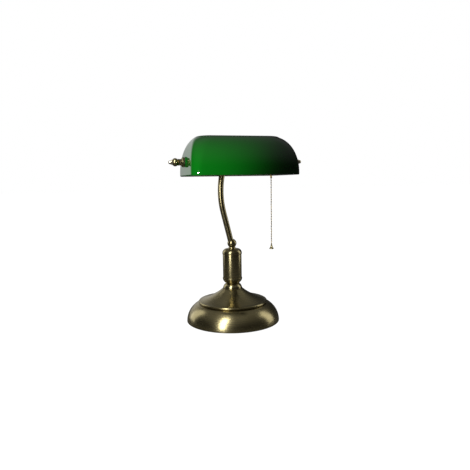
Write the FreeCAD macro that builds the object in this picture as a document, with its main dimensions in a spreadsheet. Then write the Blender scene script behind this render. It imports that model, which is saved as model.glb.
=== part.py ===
"""Banker desk lamp as a parametric FreeCAD document.

The origin is the centre of the base's underside, +Z is up, -Y is the front
and X runs along the glass shade. All sizes are in millimetres and degrees.
"""

import FreeCAD, Part
import math
import os
import re

import Sketcher
from FreeCAD import Rotation, Vector

OUTPUT_FOLDER = "parts"

# name, size, what it is
DIMENSIONS = [
    # base
    ("base_radius", 90.0, "widest radius of the base shell"),
    ("shell_lift", 1.0, "height of the shell's bottom edge"),
    ("shell_wall", 1.2, "sheet thickness of the spun base shell"),
    ("bowl_side_round", 37.6, "radius of the bowl's side"),
    ("bowl_top_round", 23.0, "radius of the bowl's upper turn"),
    ("bowl_side_turn", 48.9, "angle over which the bowl's side turns in"),
    ("step_inset", 26.4, "distance of the groove from the widest radius"),
    ("step_height", 35.6, "height of the groove"),
    ("lip_overhang", 3.0, "how far the rolled lip stands out over the groove"),
    ("lip_height", 38.2, "height of the rolled lip's middle"),
    ("lip_round", 2.4, "radius of the rolled lip"),
    ("flare_round", 100.0, "radius of the hollow flare"),
    ("flare_top_radius", 19.6, "radius where the flare meets the collar"),
    ("flare_top", 62.9, "height where the flare meets the collar"),
    ("felt_inset", 4.0, "distance of the felt pad from the widest radius"),
    ("felt_thickness", 1.5, "thickness of the felt pad"),
    ("plate_gap", 0.3, "gap between bottom plate and shell"),
    ("plate_thickness", 1.5, "thickness of the bottom plate"),
    ("weight_inset", 20.0, "distance of the iron weight from the widest radius"),
    ("weight_thickness", 10.0, "thickness of the iron weight"),
    ("boss_radius", 14.0, "radius of the weight's central boss"),
    ("recess_radius", 12.0, "radius of the nut recess under the weight"),
    ("recess_depth", 5.4, "depth of the nut recess"),
    ("screw_inset", 12.0, "distance of the bottom screws from the weight's edge"),
    ("screw_radius", 1.9, "radius of a bottom screw"),
    ("screw_head_radius", 3.6, "radius of a bottom screw's head"),
    ("screw_head", 1.2, "height of a bottom screw's head"),
    ("screw_length", 9.0, "length of a bottom screw under its head"),
    ("screw_clearance", 0.1, "radial gap around a screw"),
    ("inlet_angle", 20.0, "upward slope of the cord inlet"),
    ("inlet_bore", 3.25, "bore radius of the cord inlet"),
    ("inlet_sleeve", 5.4, "outer radius of the inlet's sleeve"),
    ("inlet_flange", 7.2, "radius of the inlet's flange"),
    ("inlet_flange_height", 2.0, "height of the inlet's flange"),
    ("inlet_length", 12.0, "length of the inlet below its flange"),
    ("inlet_clearance", 0.1, "gap around the inlet's sleeve"),
    ("block_width", 26.0, "width of the terminal block"),
    ("block_depth", 14.0, "depth of the terminal block"),
    ("block_height", 11.0, "height of the terminal block"),
    ("block_offset", 40.0, "distance of the terminal block behind the stem"),
    ("block_bore", 1.9, "radius of the terminal block's wire holes"),
    # stem and column
    ("stem_radius", 5.0, "radius of the threaded stem"),
    ("stem_bore", 3.4, "bore radius of the threaded stem"),
    ("stem_foot", 0.6, "height of the stem's end above the bottom plate"),
    ("stem_clearance", 0.1, "radial gap around the stem"),
    ("washer_radius", 9.5, "radius of the stem's washer"),
    ("washer_thickness", 1.4, "thickness of the stem's washer"),
    ("nut_radius", 8.1, "corner radius of the stem's nut"),
    ("nut_thickness", 3.4, "thickness of the stem's nut"),
    ("collar_radius", 18.9, "foot radius of the base collar"),
    ("collar_edge", 1.8, "height of the collar's straight edge"),
    ("collar_groove", 0.7, "depth and height of the collar's groove"),
    ("collar_round", 10.0, "radius of the collar's dome"),
    ("waist_radius", 11.7, "radius of the waist"),
    ("waist_height", 73.6, "height of the waist"),
    ("foot_round", 12.0, "radius of the column foot's curve"),
    ("column_lip", 18.9, "radius of the column's end lips"),
    ("column_foot_turn", 82.0, "height where the foot's curve ends"),
    ("column_bottom", 84.6, "height of the column tube's lower end"),
    ("column_radius", 18.2, "radius of the column tube"),
    ("column_wall", 1.6, "wall of the column tube"),
    ("column_top", 130.6, "height of the column tube's upper end"),
    ("cap_edge", 2.4, "height of the column cap's straight edge"),
    ("cap_round", 8.7, "radius of the column cap's shoulder"),
    ("cap_top_radius", 10.2, "radius of the column cap's top"),
    ("cap_top", 141.3, "height of the column cap's top"),
    # arm
    ("fitting_foot_radius", 7.3, "foot radius of the ball fitting"),
    ("fitting_neck", 6.2, "neck radius of the ball fitting"),
    ("fitting_ball", 8.8, "ball radius of the ball fitting"),
    ("fitting_ball_height", 151.2, "height of the ball's centre"),
    ("fitting_bore", 2.2, "smallest bore in the ball fitting"),
    ("stem_engagement", 1.8, "how far the stem stands in the ball fitting"),
    ("arm_radius", 5.5, "outer radius of the arm tube"),
    ("arm_bore", 4.3, "bore radius of the arm tube"),
    ("arm_clearance", 0.05, "gap around the arm tube in its fittings"),
    ("arm_foot", 143.5, "height of the arm tube's lower end"),
    ("arm_heel", 1.2, "upright length at the arm tube's lower end"),
    ("arm_heel_round", 12.0, "bend radius at the arm tube's lower end"),
    ("arm_lean", 13.6, "lean of the arm tube from upright"),
    ("arm_lean_length", 66.4, "straight length of the leaning arm tube"),
    ("arm_bow_round", 165.0, "bend radius of the arm tube's bow"),
    ("arm_bow_end", 9.5, "lean where the bow ends, towards the other side"),
    ("arm_neck_round", 62.0, "bend radius below the yoke hub"),
    ("arm_neck_end", 27.0, "lean of the arm tube where it enters the hub"),
    # shade
    ("shade_forward", 46.0, "distance of the shade's middle in front of the stem"),
    ("rim_height", 280.0, "height of the shade's rim"),
    ("pivot_rise", 24.5, "height of the pivot above the rim"),
    ("glass_length", 190.0, "length of the glass"),
    ("glass_width", 150.0, "width of the glass"),
    ("glass_height", 69.2, "height of the glass"),
    ("glass_wall", 4.0, "thickness of the glass"),
    ("glass_straight", 4.0, "height of the glass's upright edge"),
    ("end_round", 25.5, "how far the glass's ends curve in"),
    ("side_round", 54.0, "how far the glass's long sides curve in"),
    ("end_power", 2.1, "fullness of the ends' curve, 2 is an ellipse"),
    ("side_power", 1.95, "fullness of the long sides' curve, 2 is an ellipse"),
    ("corner_round", 17.0, "corner radius of the glass at its rim"),
    ("corner_growth", 0.9, "share of the ends' curve that is added to the corner radius"),
    ("corner_limit", 0.85, "largest corner radius as a share of the half width"),
    ("seat_radius", 9.5, "radius of the flat seats at the pivot holes"),
    ("seat_inside", 7.0, "depth of the inner seat from the glass's end"),
    ("grommet_sleeve", 6.2, "outer radius of the shade grommet's sleeve"),
    ("grommet_flange", 8.2, "radius of the shade grommet's flange"),
    ("grommet_flange_height", 1.0, "height of the shade grommet's flange"),
    ("pivot_clearance", 0.08, "running clearance of the shade's pivots"),
    ("pad_radius", 8.2, "radius of the inner pads"),
    ("pad_thickness", 1.6, "thickness of the inner pads"),
    ("side_gap", 0.2, "gap between pieces that turn against each other"),
    # yoke
    ("bush_radius", 5.0, "radius of the pivot bushes"),
    ("bush_flange", 8.0, "radius of the bushes' flange"),
    ("bush_flange_height", 2.2, "height of the bushes' flange"),
    ("bush_tail", 6.4, "length of the bushes inside the yoke"),
    ("bush_clearance", 0.05, "gap between bush and yoke"),
    ("yoke_strip", 2.5, "thickness of the yoke's strip"),
    ("yoke_width", 11.0, "width of the yoke's strip"),
    ("yoke_corner", 9.0, "outer bend radius of the yoke"),
    ("yoke_tip", 8.5, "length of the yoke in front of the pivot"),
    ("yoke_tip_round", 5.0, "corner radius of the yoke's ends"),
    ("hub_radius", 10.0, "radius of the yoke hub"),
    ("hub_reach", 4.0, "distance of the hub's centre beyond the arm's end"),
    ("hub_slot_gap", 0.05, "gap around the strip in the hub"),
    ("hub_screw_radius", 2.0, "radius of the hub's screw"),
    ("hub_screw_head", 3.4, "head radius of the hub's screw"),
    ("bush_nut_radius", 8.0, "corner radius of the left bush's nut"),
    ("bush_nut_thickness", 3.6, "thickness of the left bush's nut"),
    # knobs
    ("stud_radius", 2.5, "radius of the knobs' studs"),
    ("stud_clearance", 0.05, "running clearance of the studs"),
    ("stud_length", 14.0, "length of the studs under the knob"),
    ("knob_washer_radius", 8.9, "radius of the knobs' washer"),
    ("knob_washer_height", 1.2, "height of the knobs' washer"),
    ("knob_collar_radius", 8.6, "radius of the knobs' collar"),
    ("knob_collar", 3.0, "length of the knobs' collar"),
    ("knob_neck_radius", 5.6, "radius of the knobs' neck"),
    ("knob_neck", 6.6, "length of the knobs' neck"),
    ("knob_ball_radius", 7.2, "radius of the knobs' flattened ball"),
    ("knob_ball", 9.2, "length of the knobs' flattened ball"),
    ("knob_ball_end", 4.6, "radius at both ends of the flattened ball"),
    ("tip_foot", 4.4, "foot radius of the finial tip"),
    ("tip_end", 2.9, "end radius of the finial tip"),
    ("tip_length", 7.6, "length of the finial tip"),
    ("tip_pin", 1.5, "radius of the finial tip's pin"),
    ("tip_pin_length", 6.0, "length of the finial tip's pin"),
    # lamp holder
    ("cap_gap", 0.3, "gap between the socket cap and the yoke"),
    ("socket_cap_foot", 9.0, "radius of the socket cap's flat end"),
    ("socket_cap_radius", 18.5, "radius of the socket cap"),
    ("socket_cap_depth", 11.5, "depth of the socket cap"),
    ("socket_cap_skirt", 3.6, "straight skirt of the socket cap"),
    ("socket_cap_round", 12.0, "radius of the socket cap's dome"),
    ("socket_wall", 1.0, "wall of the socket cap"),
    ("hub_thread_radius", 8.0, "radius of the socket cap's thread boss"),
    ("shell_radius", 17.4, "radius of the socket shell"),
    ("shell_thickness", 0.8, "wall of the socket shell"),
    ("shell_overlap", 1.8, "how far the shell stands in the cap"),
    ("shell_length", 43.5, "length of the socket shell"),
    ("shell_bead", 0.9, "radius of the socket shell's rolled edge"),
    ("liner_gap", 0.1, "gap around the insulating liner"),
    ("liner_wall", 0.7, "wall of the insulating liner"),
    ("liner_inset", 2.0, "how far the liner stands back at both ends"),
    ("switch_inset", 2.6, "distance of the switch body from the shell's rear end"),
    ("switch_length", 15.0, "length of the switch body"),
    ("switch_gap", 0.1, "gap between switch body and liner"),
    ("thread_shell_radius", 13.95, "outer radius of the lamp thread shell"),
    ("thread_shell_wall", 0.6, "wall of the lamp thread shell"),
    ("thread_shell_gap", 3.0, "distance of the thread shell from the shell's mouth"),
    ("contact_width", 6.0, "width of the centre contact"),
    ("contact_height", 1.6, "height of the centre contact"),
    ("contact_length", 20.0, "length of the centre contact"),
    # pull switch
    ("chain_inset", 4.2, "distance of the chain from the switch body's rear end"),
    ("guide_radius", 3.4, "outer radius of the chain guide"),
    ("guide_bore", 1.9, "bore radius of the chain guide"),
    ("guide_top_drop", 14.0, "depth of the guide's upper end below the pivot"),
    ("guide_seat", 1.0, "height of the spring seat in the guide"),
    ("guide_nut_radius", 4.7, "radius of the guide's flange"),
    ("guide_nut_height", 1.6, "height of the guide's flange"),
    ("guide_flare_drop", 20.6, "depth where the guide's bell begins"),
    ("guide_mouth_drop", 23.8, "depth of the guide's mouth below the pivot"),
    ("guide_mouth_radius", 5.0, "outer radius of the guide's mouth"),
    ("guide_mouth_bore", 4.3, "inner radius of the guide's mouth"),
    ("rod_radius", 0.6, "radius of the pull rod"),
    ("rod_head_radius", 1.6, "radius of the pull rod's head"),
    ("rod_head", 0.9, "height of the pull rod's head"),
    ("rod_top_rise", 1.0, "height of the pull rod's top above the pivot"),
    ("bead_radius", 1.2, "radius of a chain bead"),
    ("top_bead_drop", 22.9, "depth of the pull rod's bead below the pivot"),
    ("spring_radius", 1.2, "mean radius of the return spring"),
    ("spring_wire", 0.22, "radius of the return spring's wire"),
    ("spring_turns", 8.0, "turns of the return spring"),
    ("spring_gap", 0.1, "play at the return spring's ends"),
    ("drum_radius", 4.6, "radius of the ratchet drum"),
    ("drum_width", 4.0, "width of the ratchet drum"),
    ("drum_drop", 3.0, "depth of the drum's pin below the pivot"),
    ("drum_gap", 0.4, "gap between the drum and the rod's head"),
    ("drum_pin", 1.0, "radius of the drum's pin"),
    ("drum_pin_clearance", 0.04, "running clearance on the drum's pin"),
    ("cavity_gap", 0.6, "gap around the drum in the switch body"),
    # chain
    ("coupling_gap", 0.35, "gap between a bead and the chain coupling"),
    ("coupling_radius", 1.8, "radius of the chain coupling"),
    ("coupling_length", 5.2, "length of the chain coupling"),
    ("bead_pitch", 3.15, "distance from bead to bead"),
    ("bead_count", 39.0, "number of beads in the chain"),
    ("link_radius", 0.35, "radius of the chain's links"),
    ("pull_gap", 0.3, "gap between the last bead and the pull"),
    ("pull_length", 9.0, "length of the bell-shaped pull"),
    ("pull_top", 1.5, "upper radius of the pull"),
    ("pull_foot", 4.2, "lower radius of the pull"),
    ("pull_edge", 1.2, "height of the pull's lower edge"),
    ("pull_round", 9.0, "radius of the pull's hollow side"),
    # bulb
    ("lamp_cap_radius", 13.2, "radius of the bulb's screw cap"),
    ("lamp_cap_length", 19.0, "length of the bulb's screw cap"),
    ("lamp_cap_wall", 0.5, "wall of the bulb's screw cap"),
    ("lamp_play", 0.3, "gap between the bulb and the centre contact"),
    ("lamp_insulator", 4.2, "length of the bulb's insulator"),
    ("lamp_contact_radius", 4.8, "radius of the bulb's end contact"),
    ("lamp_contact", 1.4, "height of the bulb's end contact"),
    ("globe_radius", 22.5, "radius of the bulb's globe"),
    ("globe_reach", 22.2, "distance of the globe's centre from the screw cap"),
    ("globe_wall", 1.0, "wall of the globe"),
]

SIZES = {name: size for name, size, _ in DIMENSIONS}
SIZE_WORD = re.compile(r"\b(" + "|".join(sorted(SIZES, key=len, reverse=True)) + r")\b")

# A glass section is taken at each of these shares of the curved height.
GLASS_LEVELS = (0.0, 0.1, 0.25, 0.4, 0.55, 0.7, 0.84, 0.93, 0.98, 1.0)

doc = FreeCAD.newDocument("banker_desk_lamp")
sheet = doc.addObject("Spreadsheet::Sheet", "Dims")
finished = []


def fill_sheet():
    """Write one size to a row and give its cell the size's name."""
    for row, (name, size, note) in enumerate(DIMENSIONS, start=1):
        sheet.set(f"A{row}", note)
        sheet.set(f"B{row}", repr(size))
        sheet.setAlias(f"B{row}", name)
    doc.recompute()


def linked(text):
    """Turn names of sizes in a formula into links to the sheet."""
    return SIZE_WORD.sub(r"Dims.\1", str(text))


def number(text):
    """Work a formula out with the sheet's present sizes."""
    return float(sheet.evalExpression(linked(text)))


def finish(feature, node):
    """Name the sub-part and put it on the list of what is written."""
    feature.Label = node
    finished.append(feature)
    return feature


def place(feature, x="0", y="0", z="0"):
    """Tie the place of a feature to the sheet."""
    for letter, text in zip("xyz", (x, y, z)):
        feature.setExpression(f"Placement.Base.{letter}", linked(text))
    return feature


PIVOT_Y = "-shade_forward"
PIVOT_Z = "rim_height + pivot_rise"


def place_on_pivot(feature, turned_round=False):
    """Put a piece drawn along X on the shade's pivot axis, for either side."""
    if turned_round:
        feature.Placement = FreeCAD.Placement(Vector(), Rotation(Vector(0, 0, 1), 180))
    return place(feature, "0", PIVOT_Y, PIVOT_Z)


def new_body(name):
    """Start an empty body."""
    body = doc.addObject("PartDesign::Body", name)
    body.AllowCompound = True
    return body


def new_sketch(body, name, plane, offset=None):
    """Put a sketch on one of the body's own planes, offset along its normal."""
    sketch = body.newObject("Sketcher::SketchObject", name)
    support = next(o for o in body.Origin.OriginFeatures if o.Role == plane)
    sketch.AttachmentSupport = [(support, "")]
    sketch.MapMode = "FlatFace"
    if offset is not None:
        sketch.setExpression("AttachmentOffset.Base.z", linked(offset))
    return sketch


def tie(sketch, kind, geometry, point, text):
    """Hold one coordinate of a sketch point at a formula."""
    if text == "0":
        axis = -2 if kind == "DistanceX" else -1
        sketch.addConstraint(Sketcher.Constraint("PointOnObject", geometry, point, axis))
        return
    index = sketch.addConstraint(Sketcher.Constraint(kind, geometry, point, number(text)))
    sketch.setExpression(f"Constraints[{index}]", linked(text))


def arc_through(start, end, radius):
    """Arc between two points; a positive radius bulges to the left of the way."""
    chord = end - start
    half = chord.Length / 2
    reach = abs(radius)
    rise = reach - math.sqrt(max(reach * reach - half * half, 0.0))
    left = Vector(-chord.y, chord.x, 0).normalize()
    middle = (start + end) * 0.5 + left * (rise if radius > 0 else -rise)
    return Part.Arc(start, middle, end)


def draw(sketch, corners, closed=True):
    """Draw straight and round segments through corners tied to the sheet.

    A corner is (x, y) for a straight way to it, or (x, y, radius, side) for
    an arc that bulges to the left (side 1) or to the right (side -1).
    """
    places = [Vector(number(c[0]), number(c[1]), 0) for c in corners]
    first = 0 if closed else 1
    pieces = []
    for i in range(first, len(corners)):
        start, end = places[i - 1], places[i]
        if len(corners[i]) == 2:
            index = sketch.addGeometry(Part.LineSegment(start, end), False)
            pieces.append((index, 1, 2, i))
            continue
        radius, side = corners[i][2], corners[i][3]
        index = sketch.addGeometry(arc_through(start, end, side * number(radius)), False)
        # A sketch numbers an arc's ends anticlockwise.
        pieces.append((index, 2, 1, i) if side > 0 else (index, 1, 2, i))
        bend = sketch.addConstraint(Sketcher.Constraint("Radius", index, number(radius)))
        sketch.setExpression(f"Constraints[{bend}]", linked(radius))
    if not closed:
        index, begin, _, _ = pieces[0]
        tie(sketch, "DistanceX", index, begin, corners[0][0])
        tie(sketch, "DistanceY", index, begin, corners[0][1])
    for k, (index, _, stop, i) in enumerate(pieces):
        tie(sketch, "DistanceX", index, stop, corners[i][0])
        tie(sketch, "DistanceY", index, stop, corners[i][1])
        following = k + 1 if k + 1 < len(pieces) else (0 if closed else None)
        if following is not None:
            after, begin, _, _ = pieces[following]
            joint = Sketcher.Constraint("Coincident", index, stop, after, begin)
            sketch.addConstraint(joint)


def circle(sketch, x, y, radius):
    """Draw a circle tied to the sheet."""
    centre = Vector(number(x), number(y), 0)
    shape = Part.Circle(centre, Vector(0, 0, 1), number(radius))
    index = sketch.addGeometry(shape, False)
    tie(sketch, "DistanceX", index, 3, x)
    tie(sketch, "DistanceY", index, 3, y)
    bend = sketch.addConstraint(Sketcher.Constraint("Radius", index, number(radius)))
    sketch.setExpression(f"Constraints[{bend}]", linked(radius))


def revolve(body, name, corners, axis="V_Axis", kind="Revolution"):
    """Turn an outline in the XZ plane about the body's Z axis, or its X axis."""
    sketch = new_sketch(body, f"{name}_outline", "XZ_Plane")
    draw(sketch, corners)
    feature = body.newObject(f"PartDesign::{kind}", f"{name}_turn")
    feature.Profile = (sketch, [""])
    feature.ReferenceAxis = (sketch, [axis])
    feature.Angle = 360
    sketch.Visibility = False
    return feature


def turned_z(name, corners):
    """A turned piece about the upright axis; corners are (radius, height)."""
    body = new_body(name)
    revolve(body, name, corners)
    return body


def turned_x(name, corners):
    """A turned piece along X; corners are (distance along X, radius)."""
    body = new_body(name)
    revolve(body, name, corners, axis="H_Axis")
    return body


def extrude(body, name, sketch, length, kind="Pad", both_ways=False, flip=False):
    """Pad or pocket a sketch by a length tied to the sheet."""
    feature = body.newObject(f"PartDesign::{kind}", f"{name}_{kind.lower()}")
    feature.Profile = (sketch, [""])
    feature.setExpression("Length", linked(length))
    feature.Midplane = both_ways
    feature.Reversed = flip
    sketch.Visibility = False
    return feature


def cut(name, base, *tools):
    """Take one or more tools away from a base."""
    for count, tool in enumerate(tools):
        feature = doc.addObject("Part::Cut", f"{name}_cut{count}")
        feature.Base = base
        feature.Tool = tool
        base = feature
    return base


def fuse(name, *shapes):
    """Join several shapes into one solid."""
    feature = doc.addObject("Part::MultiFuse", f"{name}_fuse")
    feature.Shapes = list(shapes)
    feature.Refine = True
    return feature


def cylinder(name, radius, height, direction=Vector(0, 0, 1)):
    """A cylinder from its own origin along a direction."""
    feature = doc.addObject("Part::Cylinder", name)
    feature.setExpression("Radius", linked(radius))
    feature.setExpression("Height", linked(height))
    feature.Placement = FreeCAD.Placement(Vector(), Rotation(Vector(0, 0, 1), direction))
    return feature


def block(name, length, width, height):
    """A box with its corner at its own origin."""
    feature = doc.addObject("Part::Box", name)
    feature.setExpression("Length", linked(length))
    feature.setExpression("Width", linked(width))
    feature.setExpression("Height", linked(height))
    return feature


def hexagon(name, radius, height):
    """A hexagonal prism."""
    feature = doc.addObject("Part::Prism", name)
    feature.Polygon = 6
    feature.setExpression("Circumradius", linked(radius))
    feature.setExpression("Height", linked(height))
    return feature


# ---------------------------------------------------------------- base

# The bowl's side and its upper turn are two arcs that meet smoothly.
SIDE_CENTRE = "(base_radius - bowl_side_round)"
STEP_RADIUS = "(base_radius - step_inset)"
LIP_RADIUS = f"({STEP_RADIUS} + lip_overhang)"
WEIGHT_RADIUS = "(base_radius - weight_inset)"
SCREW_CIRCLE = f"({WEIGHT_RADIUS} - screw_inset)"
TURN_COS = "cos(bowl_side_turn)"
TURN_SIN = "sin(bowl_side_turn)"
WEIGHT_BOTTOM = "felt_thickness + plate_thickness"
WEIGHT_TOP = f"{WEIGHT_BOTTOM} + weight_thickness"


def bowl_point(inset):
    """Where the bowl's two arcs meet, on the skin or one wall inside it."""
    reach = f"(bowl_side_round - {inset})"
    return (f"{SIDE_CENTRE} + {reach} * {TURN_COS}", f"shell_lift + {reach} * {TURN_SIN}")


def make_felt_pad():
    pad = doc.addObject("Part::Cylinder", "felt_pad")
    pad.setExpression("Radius", linked("base_radius - felt_inset"))
    pad.setExpression("Height", linked("felt_thickness"))
    finish(pad, "felt_pad")


def make_base_plate():
    body = new_body("base_plate_body")
    sketch = new_sketch(body, "base_plate_outline", "XY_Plane", "felt_thickness")
    circle(sketch, "0", "0", "base_radius - shell_wall - plate_gap")
    extrude(body, "base_plate", sketch, "plate_thickness")
    holes = new_sketch(body, "base_plate_holes", "XY_Plane", "felt_thickness")
    circle(holes, SCREW_CIRCLE, "0", "screw_radius + screw_clearance")
    pocket = extrude(body, "base_plate", holes, "plate_thickness", "Pocket", flip=True)
    ring_of(body, pocket, holes, 3)
    heads = new_sketch(body, "base_plate_sinks", "XY_Plane", "felt_thickness")
    circle(heads, SCREW_CIRCLE, "0", "screw_head_radius + screw_clearance")
    sinks = extrude(body, "base_plate_sink", heads, "screw_head", "Pocket", flip=True)
    ring_of(body, sinks, heads, 3)
    finish(body, "base_plate")


def ring_of(body, feature, sketch, count):
    """Repeat a feature round the sketch's normal."""
    ring = body.newObject("PartDesign::PolarPattern", f"{feature.Name}_ring")
    ring.Originals = [feature]
    ring.Axis = (sketch, ["N_Axis"])
    ring.Angle = 360
    ring.Occurrences = count
    body.Tip = ring
    return ring


def make_base_plate_screws():
    """Three screws hold the bottom plate to the iron weight."""
    body = new_body("base_plate_screws_body")
    heads = new_sketch(body, "plate_screw_head", "XY_Plane", "felt_thickness")
    circle(heads, SCREW_CIRCLE, "0", "screw_head_radius")
    head = extrude(body, "plate_screw_head", heads, "screw_head")
    ring_of(body, head, heads, 3)
    shanks = new_sketch(body, "plate_screw_shank", "XY_Plane", "felt_thickness")
    circle(shanks, SCREW_CIRCLE, "0", "screw_radius")
    shank = extrude(body, "plate_screw_shank", shanks, "screw_head + screw_length")
    ring_of(body, shank, shanks, 3)
    finish(body, "base_plate_screws")


def make_base_weight():
    body = turned_z("base_weight_body", [
        ("stem_radius + stem_clearance", f"{WEIGHT_BOTTOM} + recess_depth"),
        ("recess_radius", f"{WEIGHT_BOTTOM} + recess_depth"),
        ("recess_radius", WEIGHT_BOTTOM),
        (WEIGHT_RADIUS, WEIGHT_BOTTOM),
        (WEIGHT_RADIUS, WEIGHT_TOP),
        ("boss_radius", WEIGHT_TOP),
        ("boss_radius", "flare_top - shell_wall"),
        ("stem_radius + stem_clearance", "flare_top - shell_wall"),
    ])
    holes = new_sketch(body, "weight_holes", "XY_Plane", WEIGHT_BOTTOM)
    circle(holes, SCREW_CIRCLE, "0", "screw_radius + screw_clearance")
    pocket = extrude(body, "weight_holes", holes, "screw_length", "Pocket", flip=True)
    ring_of(body, pocket, holes, 3)
    finish(body, "base_weight")


def make_base_shell():
    """Spun shell: bowl, groove, rolled lip and hollow flare, one sheet thick."""
    top = "flare_top"
    lip_edge = f"({LIP_RADIUS} - lip_round)"
    inner_turn = bowl_point("shell_wall")
    outer_turn = bowl_point("0")
    body = turned_z("base_shell_body", [
        ("base_radius - shell_wall", "shell_lift", "bowl_side_round - shell_wall", 1),
        ("base_radius", "shell_lift"),
        (*outer_turn, "bowl_side_round", -1),
        (STEP_RADIUS, "step_height", "bowl_top_round", -1),
        (lip_edge, "lip_height - lip_round"),
        (lip_edge, "lip_height + lip_round", "lip_round", -1),
        ("flare_top_radius", top, "flare_round", 1),
        ("stem_radius + stem_clearance", top),
        ("stem_radius + stem_clearance", f"{top} - shell_wall"),
        ("flare_top_radius - shell_wall", f"{top} - shell_wall"),
        (f"{lip_edge} - shell_wall", "lip_height", "flare_round + shell_wall", -1),
        (f"{STEP_RADIUS} - shell_wall", "step_height - shell_wall"),
        (*inner_turn, "bowl_top_round - shell_wall", 1),
    ])
    hole = cylinder("inlet_hole", "inlet_sleeve + inlet_clearance", "inlet_length",
                    inlet_direction())
    place_inlet(hole, "-inlet_length / 2")
    finish(cut("base_shell", body, hole), "base_shell")


def inlet_direction():
    """The way the cord leaves: backwards and a little up, square to the bowl."""
    angle = math.radians(number("inlet_angle"))
    return Vector(0, math.cos(angle), math.sin(angle))


def place_inlet(feature, along):
    """Put a piece drawn from its origin on the bowl's skin at the inlet."""
    reach = f"(bowl_side_round + ({along}))"
    y = f"{SIDE_CENTRE} + {reach} * cos(inlet_angle)"
    return place(feature, "0", y, f"shell_lift + {reach} * sin(inlet_angle)")


def make_cord_grommet():
    sleeve = "inlet_sleeve"
    body = turned_z("cord_grommet_body", [
        ("inlet_bore", "-inlet_length"),
        (f"{sleeve} - 1", "-inlet_length"),
        (sleeve, "1 - inlet_length"),
        (sleeve, "inlet_clearance"),
        ("inlet_flange", "inlet_clearance"),
        ("inlet_flange", "inlet_flange_height - 0.6"),
        (f"{sleeve} - 0.4", "inlet_flange_height"),
        ("inlet_bore", "inlet_flange_height"),
    ])
    body.Placement = FreeCAD.Placement(
        Vector(), Rotation(Vector(0, 0, 1), inlet_direction()))
    finish(place_inlet(body, "0"), "cord_grommet")


def make_terminal_block():
    """Block behind the stem where the mains cord meets the inner leads."""
    body = block("terminal_body", "block_width", "block_depth", "block_height")
    place(body, "-block_width / 2", "block_offset - block_depth / 2", WEIGHT_TOP)
    holes = []
    for side in (-1, 1):
        hole = cylinder(f"terminal_hole_{side + 1}", "block_bore", "block_depth",
                        Vector(0, 1, 0))
        place(hole, f"{side} * block_width / 4", "block_offset - block_depth / 2",
              f"{WEIGHT_TOP} + block_height / 2")
        holes.append(hole)
    finish(cut("terminal_block", body, *holes), "terminal_block")


# ---------------------------------------------------------------- stem and column

STEM_BOTTOM = "felt_thickness + plate_thickness + stem_foot"
STEM_TOP = "cap_top + stem_engagement"
STEM_HOLE = "stem_radius + stem_clearance"
RECESS_TOP = f"{WEIGHT_BOTTOM} + recess_depth"


def make_stem_rod():
    body = turned_z("stem_rod_body", [
        ("stem_bore", STEM_BOTTOM),
        ("stem_radius", STEM_BOTTOM),
        ("stem_radius", STEM_TOP),
        ("stem_bore", STEM_TOP),
    ])
    finish(body, "stem_rod")


def make_stem_washer():
    body = turned_z("stem_washer_body", [
        (STEM_HOLE, f"{RECESS_TOP} - washer_thickness"),
        ("washer_radius", f"{RECESS_TOP} - washer_thickness"),
        ("washer_radius", RECESS_TOP),
        (STEM_HOLE, RECESS_TOP),
    ])
    finish(body, "stem_washer")


def make_stem_nut():
    foot = f"{RECESS_TOP} - washer_thickness - nut_thickness"
    outside = place(hexagon("stem_nut_hexagon", "nut_radius", "nut_thickness"), z=foot)
    hole = place(cylinder("stem_nut_hole", "stem_radius", "nut_thickness"), z=foot)
    finish(cut("stem_nut", outside, hole), "stem_nut")


def make_base_collar():
    """Domed collar with a small groove over its foot."""
    groove = "flare_top + collar_edge"
    body = turned_z("base_collar_body", [
        (STEM_HOLE, "flare_top"),
        ("collar_radius", "flare_top"),
        ("collar_radius", groove),
        ("collar_radius - collar_groove", groove),
        ("collar_radius - collar_groove", f"{groove} + collar_groove"),
        ("waist_radius", "waist_height", "collar_round", -1),
        (STEM_HOLE, "waist_height"),
    ])
    finish(body, "base_collar")


def make_column_foot():
    body = turned_z("column_foot_body", [
        (STEM_HOLE, "waist_height"),
        ("waist_radius", "waist_height"),
        ("column_lip", "column_foot_turn", "foot_round", -1),
        ("column_lip", "column_bottom"),
        (STEM_HOLE, "column_bottom"),
    ])
    finish(body, "column_foot")


def make_column_tube():
    body = turned_z("column_tube_body", [
        ("column_radius - column_wall", "column_bottom"),
        ("column_radius", "column_bottom"),
        ("column_radius", "column_top"),
        ("column_radius - column_wall", "column_top"),
    ])
    finish(body, "column_tube")


def make_column_cap():
    body = turned_z("column_cap_body", [
        (STEM_HOLE, "column_top"),
        ("column_lip", "column_top"),
        ("column_lip", "column_top + cap_edge"),
        ("cap_top_radius", "cap_top", "cap_round", -1),
        (STEM_HOLE, "cap_top"),
    ])
    finish(body, "column_cap")


# ---------------------------------------------------------------- arm

# The arm leans to one side, bows back over the stem and enters the hub.
HEEL_END = ("-arm_heel_round * (1 - cos(arm_lean))",
            "arm_foot + arm_heel + arm_heel_round * sin(arm_lean)")
LEAN_END = (f"{HEEL_END[0]} - arm_lean_length * sin(arm_lean)",
            f"{HEEL_END[1]} + arm_lean_length * cos(arm_lean)")
BOW_END = (f"{LEAN_END[0]} - arm_bow_round * (cos(arm_bow_end) - cos(arm_lean))",
           f"{LEAN_END[1]} + arm_bow_round * (sin(arm_lean) + sin(arm_bow_end))")
NECK_END = (f"{BOW_END[0]} + arm_neck_round * (cos(arm_bow_end) - cos(arm_neck_end))",
            f"{BOW_END[1]} + arm_neck_round * (sin(arm_neck_end) - sin(arm_bow_end))")


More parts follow.
